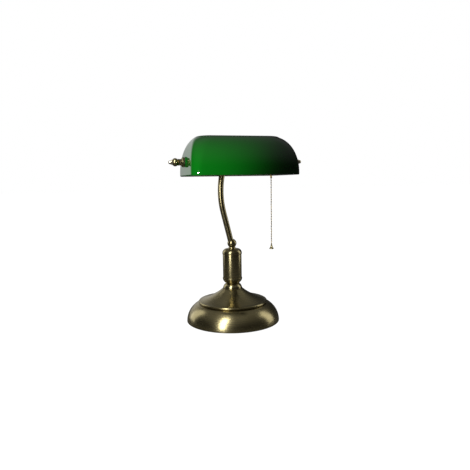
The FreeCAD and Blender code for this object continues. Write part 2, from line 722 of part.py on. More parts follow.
def arm_route(body, name):
    """The arm's centre line, in the upright plane through the stem."""
    sketch = new_sketch(body, f"{name}_route", "XZ_Plane")
    draw(sketch, [
        ("0", "arm_foot"),
        ("0", "arm_foot + arm_heel"),
        (*HEEL_END, "arm_heel_round", -1),
        LEAN_END,
        (*BOW_END, "arm_bow_round", 1),
        (*NECK_END, "arm_neck_round", 1),
    ], closed=False)
    return sketch


def sweep_arm(body, name, radii, kind="AdditivePipe"):
    """Carry one or two circles along the arm's route."""
    route = arm_route(body, name)
    section = new_sketch(body, f"{name}_section", "XY_Plane", "arm_foot")
    for radius in radii:
        circle(section, "0", "0", radius)
    pipe = body.newObject(f"PartDesign::{kind}", f"{name}_pipe")
    pipe.Profile = (section, [""])
    pipe.Spine = (route, [f"Edge{i + 1}" for i in range(route.GeometryCount)])
    route.Visibility = False
    section.Visibility = False
    return pipe


def make_arm_tube():
    body = new_body("arm_tube_body")
    sweep_arm(body, "arm_tube", ("arm_radius", "arm_bore"))
    finish(body, "arm_tube")


def make_arm_fitting():
    """Neck and ball that hold the arm's foot on the stem."""
    body = turned_z("arm_fitting_body", [
        (STEM_HOLE, "cap_top"),
        ("fitting_foot_radius", "cap_top"),
        ("fitting_foot_radius", "cap_top + 0.8"),
        ("fitting_neck", "cap_top + 2"),
        ("fitting_neck",
         "fitting_ball_height - sqrt(fitting_ball ^ 2 - fitting_neck ^ 2)"),
        ("fitting_bore",
         "fitting_ball_height + sqrt(fitting_ball ^ 2 - fitting_bore ^ 2)",
         "fitting_ball", -1),
        ("fitting_bore", f"{STEM_TOP} + stem_clearance"),
        (STEM_HOLE, f"{STEM_TOP} + stem_clearance"),
    ])
    sweep_arm(body, "fitting_hole", ("arm_radius + arm_clearance",), "SubtractivePipe")
    finish(body, "arm_fitting")


# ---------------------------------------------------------------- yoke

LEG_OUTER = ("glass_length / 2 - seat_inside - pad_thickness - side_gap"
             " - bush_flange_height")
LEG_INNER = f"{LEG_OUTER} - yoke_strip"
HUB_X = f"({NECK_END[0]} + hub_reach * sin(arm_neck_end))"
HUB_Z = f"({NECK_END[1]} + hub_reach * cos(arm_neck_end))"


def make_yoke():
    """A strip bent to a U that lies level and reaches forward to the pivots."""
    body = new_body("yoke_body")
    sketch = new_sketch(body, "yoke_outline", "XY_Plane")
    back, tip = "yoke_strip / 2", "-shade_forward - yoke_tip"
    bend = f"{back} - yoke_corner"
    inner_bend = "(yoke_corner - yoke_strip)"
    outer, inner = f"({LEG_OUTER})", f"({LEG_INNER})"
    draw(sketch, [
        (f"-{outer}", tip),
        (f"-{outer}", bend),
        (f"yoke_corner - {outer}", back, "yoke_corner", 1),
        (f"{outer} - yoke_corner", back),
        (outer, bend, "yoke_corner", 1),
        (outer, tip),
        (inner, tip),
        (inner, bend),
        (f"{inner} - {inner_bend}", f"-{back}", inner_bend, -1),
        (f"{inner_bend} - {inner}", f"-{back}"),
        (f"-{inner}", bend, inner_bend, -1),
        (f"-{inner}", tip),
    ])
    extrude(body, "yoke", sketch, "yoke_width", both_ways=True)
    holes = new_sketch(body, "yoke_holes", "YZ_Plane")
    circle(holes, "-shade_forward", "0", "bush_radius + bush_clearance")
    extrude(body, "yoke_holes", holes, "glass_length", "Pocket", both_ways=True)
    tap = new_sketch(body, "yoke_screw_hole", "XZ_Plane")
    circle(tap, HUB_X, "0", "hub_screw_radius + screw_clearance")
    extrude(body, "yoke_screw_hole", tap, "yoke_strip * 2", "Pocket", both_ways=True)
    doc.recompute()
    drilled = body.Tip
    fillet = body.newObject("PartDesign::Fillet", "yoke_tips")
    fillet.Base = (drilled, tip_edges(drilled.Shape))
    fillet.setExpression("Radius", linked("yoke_tip_round"))
    finish(place(body, z=PIVOT_Z), "yoke")


def tip_edges(shape):
    """The short edges across the strip at the yoke's two ends."""
    tip = number("-shade_forward - yoke_tip")
    strip = number("yoke_strip")
    names = []
    for i, edge in enumerate(shape.Edges, start=1):
        centre = edge.CenterOfMass
        along_x = abs(edge.BoundBox.XLength - strip) < 1e-6 and edge.BoundBox.ZLength < 1e-6
        if along_x and abs(centre.y - tip) < 1e-6:
            names.append(f"Edge{i}")
    return names


def make_yoke_hub():
    """Ball on the arm's top with a slot for the yoke's strip."""
    ball = doc.addObject("Part::Sphere", "hub_ball")
    ball.setExpression("Radius", linked("hub_radius"))
    place(ball, HUB_X, "0", HUB_Z)
    slot = block("hub_slot", "hub_radius * 4", "yoke_strip + 2 * hub_slot_gap",
                 "yoke_width / 2 + hub_slot_gap + hub_radius * 2")
    place(slot, f"{HUB_X} - hub_radius * 2", "-yoke_strip / 2 - hub_slot_gap",
          f"{PIVOT_Z} - yoke_width / 2 - hub_slot_gap")
    tap = cylinder("hub_screw_hole", "hub_screw_radius", "hub_radius * 3", Vector(0, 1, 0))
    place(tap, HUB_X, "-hub_radius / 2", PIVOT_Z)
    seat = cylinder("hub_screw_seat", "hub_screw_head + screw_clearance", "hub_radius",
                    Vector(0, 1, 0))
    place(seat, HUB_X, "hub_radius * 0.6", PIVOT_Z)
    socket = new_body("hub_socket")
    sweep_arm(socket, "hub_socket", ("arm_radius + arm_clearance",))
    finish(cut("yoke_hub", ball, slot, tap, seat, socket), "yoke_hub")


def make_hub_screw():
    """Screw that goes through the hub and the strip from behind."""
    shank = cylinder("hub_screw_shank", "hub_screw_radius", "hub_radius * 1.1",
                     Vector(0, 1, 0))
    place(shank, HUB_X, "-hub_radius / 2", PIVOT_Z)
    head = cylinder("hub_screw_head", "hub_screw_head", "hub_radius * 0.3", Vector(0, 1, 0))
    place(head, HUB_X, "hub_radius * 0.6", PIVOT_Z)
    finish(fuse("hub_screw", shank, head), "hub_screw")


def make_pivot_bush(node, turned_round):
    """Threaded bush in a yoke leg that carries the shade and takes the stud."""
    tail = f"({LEG_INNER}) - bush_tail"
    end = "glass_length / 2 + grommet_flange_height"
    flange = f"{LEG_OUTER} + bush_flange_height"
    bore = "stud_radius + stud_clearance"
    body = turned_x(f"{node}_body", [
        (tail, bore),
        (tail, "bush_radius"),
        (LEG_OUTER, "bush_radius"),
        (LEG_OUTER, "bush_flange"),
        (flange, "bush_flange"),
        (flange, "bush_radius"),
        (end, "bush_radius"),
        (end, bore),
    ])
    finish(place_on_pivot(body, turned_round), node)


def make_bush_nut():
    outside = hexagon("bush_nut_hexagon", "bush_nut_radius", "bush_nut_thickness")
    outside.Placement = FreeCAD.Placement(
        Vector(), Rotation(Vector(0, 0, 1), Vector(-1, 0, 0)))
    hole = cylinder("bush_nut_hole", "bush_radius", "bush_nut_thickness + 2",
                    Vector(-1, 0, 0))
    place(outside, f"bush_nut_thickness - ({LEG_INNER})", PIVOT_Y, PIVOT_Z)
    place(hole, f"bush_nut_thickness + 1 - ({LEG_INNER})", PIVOT_Y, PIVOT_Z)
    finish(cut("left_bush_nut", outside, hole), "left_bush_nut")


# ---------------------------------------------------------------- shade

CURVED_HEIGHT = "(glass_height - glass_straight)"


def glass_section(body, name, share, inset):
    """Rounded rectangle of the glass at a share of its curved height.

    The ends and sides follow superellipses: full width at share 0 and
    end_round or side_round less at share 1.
    """
    height = f"glass_straight + {share} * ({CURVED_HEIGHT} - {inset})"
    end_fall = f"end_round * (1 - (1 - {share} ^ end_power) ^ (1 / end_power))"
    side_fall = f"side_round * (1 - (1 - {share} ^ side_power) ^ (1 / side_power))"
    sketch = new_sketch(body, name, "XY_Plane", height)
    half_x = f"(glass_length / 2 - {inset} - {end_fall})"
    half_y = f"(glass_width / 2 - {inset} - {side_fall})"
    grown = f"corner_round - {inset} + corner_growth * {end_fall}"
    corner = f"min({grown}; corner_limit * {half_y})"
    rounded_rectangle(sketch, half_x, half_y, corner)
    return sketch


def rounded_rectangle(sketch, half_x, half_y, corner):
    """Rectangle about the origin with round corners."""
    draw(sketch, [
        (f"{corner} - {half_x}", f"-{half_y}", corner, -1),
        (f"{half_x} - {corner}", f"-{half_y}"),
        (half_x, f"{corner} - {half_y}", corner, -1),
        (half_x, f"{half_y} - {corner}"),
        (f"{half_x} - {corner}", half_y, corner, -1),
        (f"{corner} - {half_x}", half_y),
        (f"-{half_x}", f"{half_y} - {corner}", corner, -1),
        (f"-{half_x}", f"{corner} - {half_y}"),
    ])


def glass_loft(body, name, inset, kind):
    """Loft the glass's sections from its upright edge to its top."""
    sections = [
        glass_section(body, f"{name}_level{i}", share, inset)
        for i, share in enumerate(GLASS_LEVELS)
    ]
    loft = body.newObject(f"PartDesign::{kind}Loft", f"{name}_loft")
    loft.Profile = (sections[0], [""])
    loft.Sections = [(section, [""]) for section in sections[1:]]
    for section in sections:
        section.Visibility = False


def make_shade_glass():
    body = new_body("shade_glass_body")
    edge = new_sketch(body, "glass_edge", "XY_Plane")
    rounded_rectangle(edge, "(glass_length / 2)", "(glass_width / 2)", "corner_round")
    extrude(body, "glass_edge", edge, "glass_straight")
    glass_loft(body, "glass_skin", "0", "Additive")
    hollow = new_sketch(body, "glass_hollow", "XY_Plane")
    rounded_rectangle(hollow, "(glass_length / 2 - glass_wall)",
                      "(glass_width / 2 - glass_wall)", "(corner_round - glass_wall)")
    extrude(body, "glass_hollow", hollow, "glass_straight", "Pocket", flip=True)
    glass_loft(body, "glass_inside", "glass_wall", "Subtractive")
    for side in (-1, 1):
        name = "right" if side > 0 else "left"
        end = "(glass_length / 2)"
        start = f"{end} - seat_inside" if side > 0 else f"-{end}"
        seat = new_sketch(body, f"glass_seat_{name}", "YZ_Plane", start)
        circle(seat, "0", "pivot_rise", "seat_radius")
        extrude(body, f"glass_seat_{name}", seat, "seat_inside")
    holes = new_sketch(body, "glass_holes", "YZ_Plane")
    circle(holes, "0", "pivot_rise", "grommet_sleeve")
    extrude(body, "glass_holes", holes, "glass_length * 1.1", "Pocket", both_ways=True)
    finish(place(body, "0", PIVOT_Y, "rim_height"), "shade_glass")


def make_shade_grommet(node, turned_round):
    """Top-hat grommet between the glass and the pivot bush."""
    end = "glass_length / 2"
    bore = "bush_radius + pivot_clearance"
    body = turned_x(f"{node}_body", [
        (f"{end} - seat_inside", bore),
        (f"{end} - seat_inside", "grommet_sleeve"),
        (end, "grommet_sleeve"),
        (end, "grommet_flange"),
        (f"{end} + grommet_flange_height", "grommet_flange"),
        (f"{end} + grommet_flange_height", bore),
    ])
    finish(place_on_pivot(body, turned_round), node)


def make_inner_pad(node, turned_round):
    """Felt pad between the bush's flange and the glass."""
    start = "glass_length / 2 - seat_inside - pad_thickness"
    bore = "bush_radius + pivot_clearance"
    body = turned_x(f"{node}_body", [
        (start, bore),
        (start, "pad_radius"),
        ("glass_length / 2 - seat_inside", "pad_radius"),
        ("glass_length / 2 - seat_inside", bore),
    ])
    finish(place_on_pivot(body, turned_round), node)


# ---------------------------------------------------------------- knobs

WASHER_START = "glass_length / 2 + grommet_flange_height + side_gap"
KNOB_START = f"{WASHER_START} + knob_washer_height + side_gap"
BALL_START = f"{KNOB_START} + knob_collar + knob_neck"
TIP_START = f"{BALL_START} + knob_ball"


def make_knob_washer(node, turned_round):
    bore = "stud_radius + stud_clearance"
    body = turned_x(f"{node}_body", [
        (WASHER_START, bore),
        (WASHER_START, "knob_washer_radius"),
        (f"{WASHER_START} + knob_washer_height", "knob_washer_radius"),
        (f"{WASHER_START} + knob_washer_height", bore),
    ])
    finish(place_on_pivot(body, turned_round), node)


def make_knob(node, turned_round):
    """Turned knob: stepped collar, neck, flattened ball, with a hole for the tip."""
    neck = "knob_neck_radius"
    hole = "stud_radius"
    body = turned_x(f"{node}_body", [
        (KNOB_START, hole),
        (KNOB_START, "knob_collar_radius"),
        (f"{KNOB_START} + knob_collar * 0.6", "knob_collar_radius"),
        (f"{KNOB_START} + knob_collar", "knob_collar_radius - 1.6"),
        (f"{KNOB_START} + knob_collar", f"{neck} + 0.9"),
        (f"{KNOB_START} + knob_collar + 1", neck),
        (f"{BALL_START} - 1", neck),
        (BALL_START, "knob_ball_end"),
        (TIP_START, "knob_ball_end", "(knob_ball ^ 2 / 4 + (knob_ball_radius"
         " - knob_ball_end) ^ 2) / (2 * (knob_ball_radius - knob_ball_end))", 1),
        (TIP_START, "tip_pin"),
        (f"{TIP_START} - tip_pin_length", "tip_pin"),
        (f"{TIP_START} - tip_pin_length", hole),
    ])
    finish(place_on_pivot(body, turned_round), node)


def make_knob_stud(node, turned_round):
    """Threaded stud from the knob into the pivot bush."""
    body = turned_x(f"{node}_body", [
        (f"{KNOB_START} - stud_length", "0"),
        (f"{KNOB_START} - stud_length", "stud_radius - 0.4"),
        (f"{KNOB_START} - stud_length + 0.6", "stud_radius"),
        (f"{TIP_START} - tip_pin_length", "stud_radius"),
        (f"{TIP_START} - tip_pin_length", "0"),
    ])
    finish(place_on_pivot(body, turned_round), node)


def make_finial_tip(node, turned_round):
    """Light tapered tip pinned into the knob's ball."""
    end = f"{TIP_START} + tip_length"
    body = turned_x(f"{node}_body", [
        (f"{TIP_START} - tip_pin_length", "0"),
        (f"{TIP_START} - tip_pin_length", "tip_pin"),
        (TIP_START, "tip_pin"),
        (TIP_START, "tip_foot"),
        (f"{TIP_START} + 1", "tip_foot"),
        (f"{end} - 2", "tip_end"),
        (end, "0", "(4 + tip_end ^ 2) / 4", 1),
    ])
    finish(place_on_pivot(body, turned_round), node)


# ---------------------------------------------------------------- lamp holder

CAP_REAR = f"({LEG_INNER}) - cap_gap"
CAP_RIM = f"{CAP_REAR} - socket_cap_depth"
SHELL_REAR = f"{CAP_RIM} + shell_overlap"
SHELL_MOUTH = f"{SHELL_REAR} - shell_length"
SWITCH_REAR = f"{SHELL_REAR} - switch_inset"
SWITCH_FRONT = f"{SWITCH_REAR} - switch_length"
CHAIN_X = f"({SWITCH_REAR} - chain_inset)"
LINER_RADIUS = "shell_radius - shell_thickness - liner_gap"
SWITCH_RADIUS = f"{LINER_RADIUS} - liner_wall - switch_gap"


def make_socket_cap():
    """Domed cap that screws on the right bush and covers the shell's rear."""
    inside = "socket_cap_radius - socket_wall"
    body = turned_x("socket_cap_body", [
        (CAP_REAR, "bush_radius"),
        (CAP_REAR, "socket_cap_foot"),
        (f"{CAP_RIM} + socket_cap_skirt", "socket_cap_radius", "socket_cap_round", -1),
        (CAP_RIM, "socket_cap_radius"),
        (CAP_RIM, inside),
        (f"{CAP_RIM} + socket_cap_skirt", inside),
        (f"{CAP_REAR} - socket_wall", "socket_cap_foot - socket_wall / 2",
         "socket_cap_round - socket_wall", 1),
        (f"{CAP_REAR} - socket_wall * 5", "hub_thread_radius"),
        (f"{CAP_REAR} - socket_wall * 5", "bush_radius"),
    ])
    finish(place_on_pivot(body), "socket_cap")


def guide_hole(body, name):
    """Drill the chain guide's hole through the underside of a tube along X."""
    sketch = new_sketch(body, f"{name}_guide_hole", "XY_Plane")
    circle(sketch, CHAIN_X, "0", "guide_radius + liner_gap")
    extrude(body, f"{name}_guide_hole", sketch, "shell_radius * 2", "Pocket")


def make_socket_shell():
    inside = "shell_radius - shell_thickness"
    bead = "shell_bead"
    body = turned_x("socket_shell_body", [
        (SHELL_REAR, inside),
        (SHELL_REAR, "shell_radius"),
        (f"{SHELL_MOUTH} + 2 * {bead}", "shell_radius"),
        (f"{SHELL_MOUTH} + {bead}", f"shell_radius + {bead} * 0.7", bead, -1),
        (SHELL_MOUTH, "shell_radius", bead, -1),
        (SHELL_MOUTH, inside),
    ])
    guide_hole(body, "shell")
    finish(place_on_pivot(body), "socket_shell")


def make_shell_liner():
    body = turned_x("shell_liner_body", [
        (f"{SHELL_REAR} - liner_inset", f"{LINER_RADIUS} - liner_wall"),
        (f"{SHELL_REAR} - liner_inset", LINER_RADIUS),
        (f"{SHELL_MOUTH} + liner_inset", LINER_RADIUS),
        (f"{SHELL_MOUTH} + liner_inset", f"{LINER_RADIUS} - liner_wall"),
    ])
    guide_hole(body, "liner")
    finish(place_on_pivot(body), "shell_liner")


DRUM_Y = "(rod_head_radius + drum_gap + drum_radius)"


def make_switch_body():
    """Moulded switch body with a chamber for the drum and the pull rod."""
    solid = cylinder("switch_solid", SWITCH_RADIUS, "switch_length", Vector(1, 0, 0))
    place_at_pivot(solid, SWITCH_FRONT)
    wide = "drum_width + 2 * cavity_gap"
    front = "(rod_head_radius + cavity_gap)"
    deep = f"{front} + {DRUM_Y} + drum_radius + cavity_gap"
    low = "(drum_drop + drum_radius + cavity_gap)"
    chamber = block("switch_chamber", wide, deep,
                    f"{low} + rod_top_rise + cavity_gap * 2")
    place_at_pivot(chamber, f"{CHAIN_X} - ({wide}) / 2", f"-{front}", f"-{low}")
    well = cylinder("switch_well", "guide_bore", "shell_radius")
    place_at_pivot(well, CHAIN_X, "0", "-shell_radius")
    seat = cylinder("switch_guide_seat", "guide_radius + liner_gap", "shell_radius")
    place_at_pivot(seat, CHAIN_X, "0", "-guide_top_drop - shell_radius")
    pin = cylinder("switch_pin_hole", "drum_pin", "drum_width + 6 * cavity_gap",
                   Vector(1, 0, 0))
    place_at_pivot(pin, f"{CHAIN_X} - drum_width / 2 - 3 * cavity_gap", DRUM_Y,
                   "-drum_drop")
    finish(cut("switch_body", solid, chamber, well, seat, pin), "switch_body")


def place_at_pivot(feature, x="0", y="0", z="0"):
    """Place a feature from the pivot axis and the shade's middle."""
    return place(feature, x, f"{PIVOT_Y} + {y}", f"{PIVOT_Z} + ({z})")


def make_drum_pin():
    pin = cylinder("drum_pin_solid", "drum_pin", "drum_width + 6 * cavity_gap",
                   Vector(1, 0, 0))
    place_at_pivot(pin, f"{CHAIN_X} - drum_width / 2 - 3 * cavity_gap", DRUM_Y,
                   "-drum_drop")
    finish(pin, "drum_pin")


def make_ratchet_drum():
    """Toothed drum that the pull rod turns."""
    teeth = doc.addObject("Part::Prism", "drum_teeth")
    teeth.Polygon = 8
    teeth.setExpression("Circumradius", linked("drum_radius"))
    teeth.setExpression("Height", linked("drum_width"))
    teeth.Placement = FreeCAD.Placement(
        Vector(), Rotation(Vector(0, 0, 1), Vector(1, 0, 0)))
    place_at_pivot(teeth, f"{CHAIN_X} - drum_width / 2", DRUM_Y, "-drum_drop")
    bore = cylinder("drum_bore", "drum_pin + drum_pin_clearance", "drum_width",
                    Vector(1, 0, 0))
    place_at_pivot(bore, f"{CHAIN_X} - drum_width / 2", DRUM_Y, "-drum_drop")
    finish(cut("ratchet_drum", teeth, bore), "ratchet_drum")


def make_lamp_thread_shell():
    start = f"{SHELL_MOUTH} + thread_shell_gap"
    body = turned_x("lamp_thread_shell_body", [
        (start, "thread_shell_radius - thread_shell_wall"),
        (start, "thread_shell_radius"),
        (SWITCH_FRONT, "thread_shell_radius"),
        (SWITCH_FRONT, "thread_shell_radius - thread_shell_wall"),
    ])
    finish(place_on_pivot(body), "lamp_thread_shell")


def make_centre_contact():
    tab = block("centre_contact_tab", "contact_height", "contact_width", "contact_length")
    place_at_pivot(tab, f"{SWITCH_FRONT} - contact_height", "-contact_width / 2",
                   "-contact_length / 2")
    finish(tab, "centre_contact")


# ---------------------------------------------------------------- pull switch

def make_chain_guide():
    """Bell-mouthed guide with a flange under the shell and a seat for the spring."""
    flange_top = "-shell_radius"
    flange_foot = "-shell_radius - guide_nut_height"
    seat = "rod_radius + coupling_gap"
    body = turned_z("chain_guide_body", [
        (seat, "-guide_top_drop"),
        ("guide_radius", "-guide_top_drop"),
        ("guide_radius", flange_top),
        ("guide_nut_radius", flange_top),
        ("guide_nut_radius", flange_foot),
        ("guide_radius", flange_foot),
        ("guide_radius", "-guide_flare_drop"),
        ("guide_mouth_radius", "-guide_mouth_drop", "guide_mouth_radius", -1),
        ("guide_mouth_bore", "-guide_mouth_drop"),
        ("guide_bore", "-guide_flare_drop", "guide_mouth_radius", 1),
        ("guide_bore", "-guide_top_drop - guide_seat"),
        (seat, "-guide_top_drop - guide_seat"),
    ])
    finish(place_at_pivot(body, CHAIN_X), "chain_guide")


def bead_outline(centre):
    """Half circle about the Z axis at a height, closed along the axis."""
    return [
        ("0", f"{centre} - bead_radius"),
        ("0", f"{centre} + bead_radius", "bead_radius", -1),
    ]


def make_pull_rod():
    """Rod with a head for the spring and a bead for the chain."""
    bead_top = "sqrt(bead_radius ^ 2 - rod_radius ^ 2) - top_bead_drop"
    body = turned_z("pull_rod_body", [
        ("0", "-top_bead_drop - bead_radius"),
        ("rod_radius", bead_top, "bead_radius", -1),
        ("rod_radius", "rod_top_rise - rod_head"),
        ("rod_head_radius", "rod_top_rise - rod_head"),
        ("rod_head_radius", "rod_top_rise"),
        ("0", "rod_top_rise"),
    ])
    finish(place_at_pivot(body, CHAIN_X), "pull_rod")


def make_pull_spring():
    """Helical return spring between the guide's seat and the rod's head."""
    low = number("spring_gap + spring_wire - guide_top_drop")
    high = number("rod_top_rise - rod_head - spring_gap - spring_wire")
    radius, wire = number("spring_radius"), number("spring_wire")
    helix = Part.makeHelix((high - low) / number("spring_turns"), high - low, radius)
    start = Part.Circle(Vector(radius, 0, 0), Vector(0, 1, 0), wire)
    section = Part.Wire([start.toShape()])
    coil = Part.Wire(helix.Edges).makePipeShell([section], True, True)
    spring = doc.addObject("Part::Feature", "pull_spring")
    spring.Shape = coil
    place_at_pivot(spring, CHAIN_X, "0",
                   "spring_gap + spring_wire - guide_top_drop")
    finish(spring, "pull_spring")


COUPLING_TOP = "-(top_bead_drop + bead_radius + coupling_gap)"
COUPLING_FOOT = f"({COUPLING_TOP} - coupling_length)"
FIRST_BEAD = f"({COUPLING_FOOT} - coupling_gap - bead_radius)"
LAST_BEAD = f"({FIRST_BEAD} - (bead_count - 1) * bead_pitch)"


def make_chain_coupling():
    rounding = "coupling_radius * 0.35"
    body = turned_z("chain_coupling_body", [
        ("0", COUPLING_FOOT),
        (f"coupling_radius - {rounding}", COUPLING_FOOT),
        ("coupling_radius", f"{COUPLING_FOOT} + {rounding}", rounding, -1),
        ("coupling_radius", f"{COUPLING_TOP} - {rounding}"),
        (f"coupling_radius - {rounding}", COUPLING_TOP, rounding, -1),
        ("0", COUPLING_TOP),
    ])
    finish(place_at_pivot(body, CHAIN_X), "chain_coupling")


def repeat_down(body, feature, sketch, length, count):
    """Repeat a feature in even steps down the sketch's upright axis."""
    row = body.newObject("PartDesign::LinearPattern", f"{feature.Name}_row")
    row.Originals = [feature]
    row.Direction = (sketch, ["V_Axis"])
    row.Reversed = True
    row.setExpression("Length", linked(length))
    row.setExpression("Occurrences", linked(count))
    body.Tip = row


def make_chain_beads():
    body = new_body("chain_beads_body")
    bead = revolve(body, "chain_bead", bead_outline(FIRST_BEAD))
    repeat_down(body, bead, bead.Profile[0], "(bead_count - 1) * bead_pitch", "bead_count")
    finish(place_at_pivot(body, CHAIN_X), "chain_beads")


def make_chain_links():
    """Short rods from bead to bead, and one from the last bead into the pull."""
    body = new_body("chain_links_body")
    top = f"{FIRST_BEAD} - bead_radius"
    foot = f"{FIRST_BEAD} + bead_radius - bead_pitch"
    link = revolve(body, "chain_link", [
        ("0", foot), ("link_radius", foot), ("link_radius", top), ("0", top)])
    repeat_down(body, link, link.Profile[0], "(bead_count - 1) * bead_pitch", "bead_count")
    finish(place_at_pivot(body, CHAIN_X), "chain_links")


def make_chain_pull():
    """Bell-shaped pull with a socket for the last link."""
    top = f"({LAST_BEAD} - bead_radius - pull_gap)"
    foot = f"({top} - pull_length)"
    socket = f"{LAST_BEAD} + bead_radius - bead_pitch - pull_gap"
    body = turned_z("chain_pull_body", [
        ("0", foot),
        ("pull_foot - 0.8", foot),
        ("pull_foot", f"{foot} + pull_edge", "pull_edge", -1),
        ("pull_top", f"{top} - 0.8", "pull_round", 1),
        ("pull_top - 0.6", top),
        ("link_radius", top),
        ("link_radius", socket),
        ("0", socket),
    ])
    finish(place_at_pivot(body, CHAIN_X), "chain_pull")


# ---------------------------------------------------------------- bulb

INSULATOR_END = f"({SWITCH_FRONT} - contact_height - lamp_play - lamp_contact)"
CAP_END = f"({INSULATOR_END} - lamp_insulator)"
CAP_START = f"({CAP_END} - lamp_cap_length)"
GLOBE_CENTRE = f"({CAP_START} - globe_reach)"


def make_bulb_globe():
    """Hollow globe with a neck that stands in the screw cap."""
    neck = "(lamp_cap_radius - lamp_cap_wall)"
    rise = f"sqrt(globe_radius ^ 2 - {neck} ^ 2)"
    inner = "(globe_radius - globe_wall)"
    inner_neck = f"({neck} - globe_wall)"
    inner_rise = f"sqrt({inner} ^ 2 - {inner_neck} ^ 2)"
    end = f"{CAP_START} + 3"
    body = turned_x("bulb_globe_body", [
        (f"{GLOBE_CENTRE} - globe_radius", "0"),
        (f"{GLOBE_CENTRE} + {rise}", neck, "globe_radius", 1),
        (end, neck),
        (end, inner_neck),
        (f"{GLOBE_CENTRE} + {inner_rise}", inner_neck),
        (f"{GLOBE_CENTRE} - {inner}", "0", inner, -1),
    ])
    finish(place_on_pivot(body), "bulb_globe")


def make_bulb_cap():
    body = turned_x("bulb_cap_body", [
        (CAP_START, "lamp_cap_radius - lamp_cap_wall"),
        (CAP_START, "lamp_cap_radius"),
        (f"{CAP_END} - 1.5", "lamp_cap_radius"),
        (CAP_END, "lamp_cap_radius - 1.5"),
        (CAP_END, "lamp_cap_radius - 2"),
        (f"{CAP_END} - 1.5", "lamp_cap_radius - lamp_cap_wall"),
    ])
    finish(place_on_pivot(body), "bulb_cap")


def make_bulb_insulator():
    body = turned_x("bulb_insulator_body", [
        (CAP_END, "0"),
        (CAP_END, "lamp_cap_radius - 2"),
        (INSULATOR_END, "lamp_contact_radius + 0.8"),
        (INSULATOR_END, "0"),
    ])
    finish(place_on_pivot(body), "bulb_insulator")


def make_bulb_contact():
    body = turned_x("bulb_contact_body", [
        (INSULATOR_END, "0"),
        (INSULATOR_END, "lamp_contact_radius"),
        (f"{INSULATOR_END} + lamp_contact * 0.4", "lamp_contact_radius"),
        (f"{INSULATOR_END} + lamp_contact", "lamp_contact_radius - 1.5"),
        (f"{INSULATOR_END} + lamp_contact", "0"),
    ])
    finish(place_on_pivot(body), "bulb_contact")


# ---------------------------------------------------------------- whole lamp

def make_everything():
    make_felt_pad()
    make_base_plate()
    make_base_plate_screws()
    make_base_weight()
    make_base_shell()
    make_cord_grommet()
    make_terminal_block()
    make_stem_rod()
    make_stem_washer()
    make_stem_nut()
    make_base_collar()
    make_column_foot()
    make_column_tube()
    make_column_cap()
    make_arm_fitting()
    make_arm_tube()
    make_yoke()
    make_yoke_hub()
    make_hub_screw()
    make_pivot_bush("left_pivot_bush", True)
    make_pivot_bush("right_pivot_bush", False)
    make_bush_nut()
    make_shade_glass()
    for side, turned_round in (("left", True), ("right", False)):
        make_shade_grommet(f"{side}_shade_grommet", turned_round)
        make_inner_pad(f"{side}_inner_pad", turned_round)
        make_knob_washer(f"{side}_knob_washer", turned_round)
        make_knob(f"{side}_knob", turned_round)
        make_knob_stud(f"{side}_knob_stud", turned_round)
        make_finial_tip(f"{side}_finial_tip", turned_round)
    make_socket_cap()
    make_socket_shell()
    make_shell_liner()
    make_switch_body()
    make_drum_pin()
    make_ratchet_drum()
    make_lamp_thread_shell()
    make_centre_contact()
    make_chain_guide()
    make_pull_rod()
    make_pull_spring()
    make_chain_coupling()
    make_chain_beads()
    make_chain_links()
    make_chain_pull()
    make_bulb_globe()
    make_bulb_cap()
    make_bulb_insulator()
    make_bulb_contact()


def check_and_write():
    """Refuse a failed feature or a bad shape, then write every sub-part."""
    doc.recompute()
    failed = [o.Label for o in doc.Objects if {"Invalid", "Error"} & set(o.State)]
    if failed:
        raise RuntimeError(f"features failed: {failed}")
    for feature in finished:
        shape = feature.Shape
        if shape.isNull() or not shape.isValid() or not shape.Solids:
            raise RuntimeError(f"{feature.Label} has no valid solid")
    os.makedirs(OUTPUT_FOLDER, exist_ok=True)
    for feature in finished:
        feature.Shape.exportStep(os.path.join(OUTPUT_FOLDER, f"{feature.Label}.step"))
        solids = len(feature.Shape.Solids)
        print(f"{feature.Label}: {solids} solid(s), {feature.Shape.Volume / 1000:.2f} cm3")


fill_sheet()
make_everything()
check_and_write()
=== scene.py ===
"""Looks of the banker desk lamp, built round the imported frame.

Every size is in metres in the frame's own axes: +Z up, -Y the front, X along
the shade. Small sizes are written in millimetres and multiplied by MM.
"""

import logging
import math
from dataclasses import dataclass, field
from enum import Enum
from typing import Iterable, Optional, Sequence, Union

import bmesh
import bpy
import numpy as np
from mathutils import Euler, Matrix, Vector


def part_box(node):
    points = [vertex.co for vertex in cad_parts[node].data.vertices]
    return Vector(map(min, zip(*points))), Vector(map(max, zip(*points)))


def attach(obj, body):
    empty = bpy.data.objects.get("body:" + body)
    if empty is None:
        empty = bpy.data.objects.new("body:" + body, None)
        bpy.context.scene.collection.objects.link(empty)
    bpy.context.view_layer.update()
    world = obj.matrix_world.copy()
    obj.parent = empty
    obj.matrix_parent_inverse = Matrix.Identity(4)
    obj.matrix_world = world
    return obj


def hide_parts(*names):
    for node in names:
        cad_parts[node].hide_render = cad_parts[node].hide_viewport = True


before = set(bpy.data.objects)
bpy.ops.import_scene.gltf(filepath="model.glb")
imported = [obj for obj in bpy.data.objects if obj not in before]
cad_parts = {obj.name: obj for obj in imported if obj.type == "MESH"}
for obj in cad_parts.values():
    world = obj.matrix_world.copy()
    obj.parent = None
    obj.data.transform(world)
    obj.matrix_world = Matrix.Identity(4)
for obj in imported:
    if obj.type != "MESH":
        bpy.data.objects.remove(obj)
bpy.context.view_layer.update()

MM = 0.001
TURN = 2.0 * math.pi
log = logging.getLogger("banker_lamp")

Colour = tuple[float, float, float]
Corner = tuple


# ---------------------------------------------------------------- shader tools


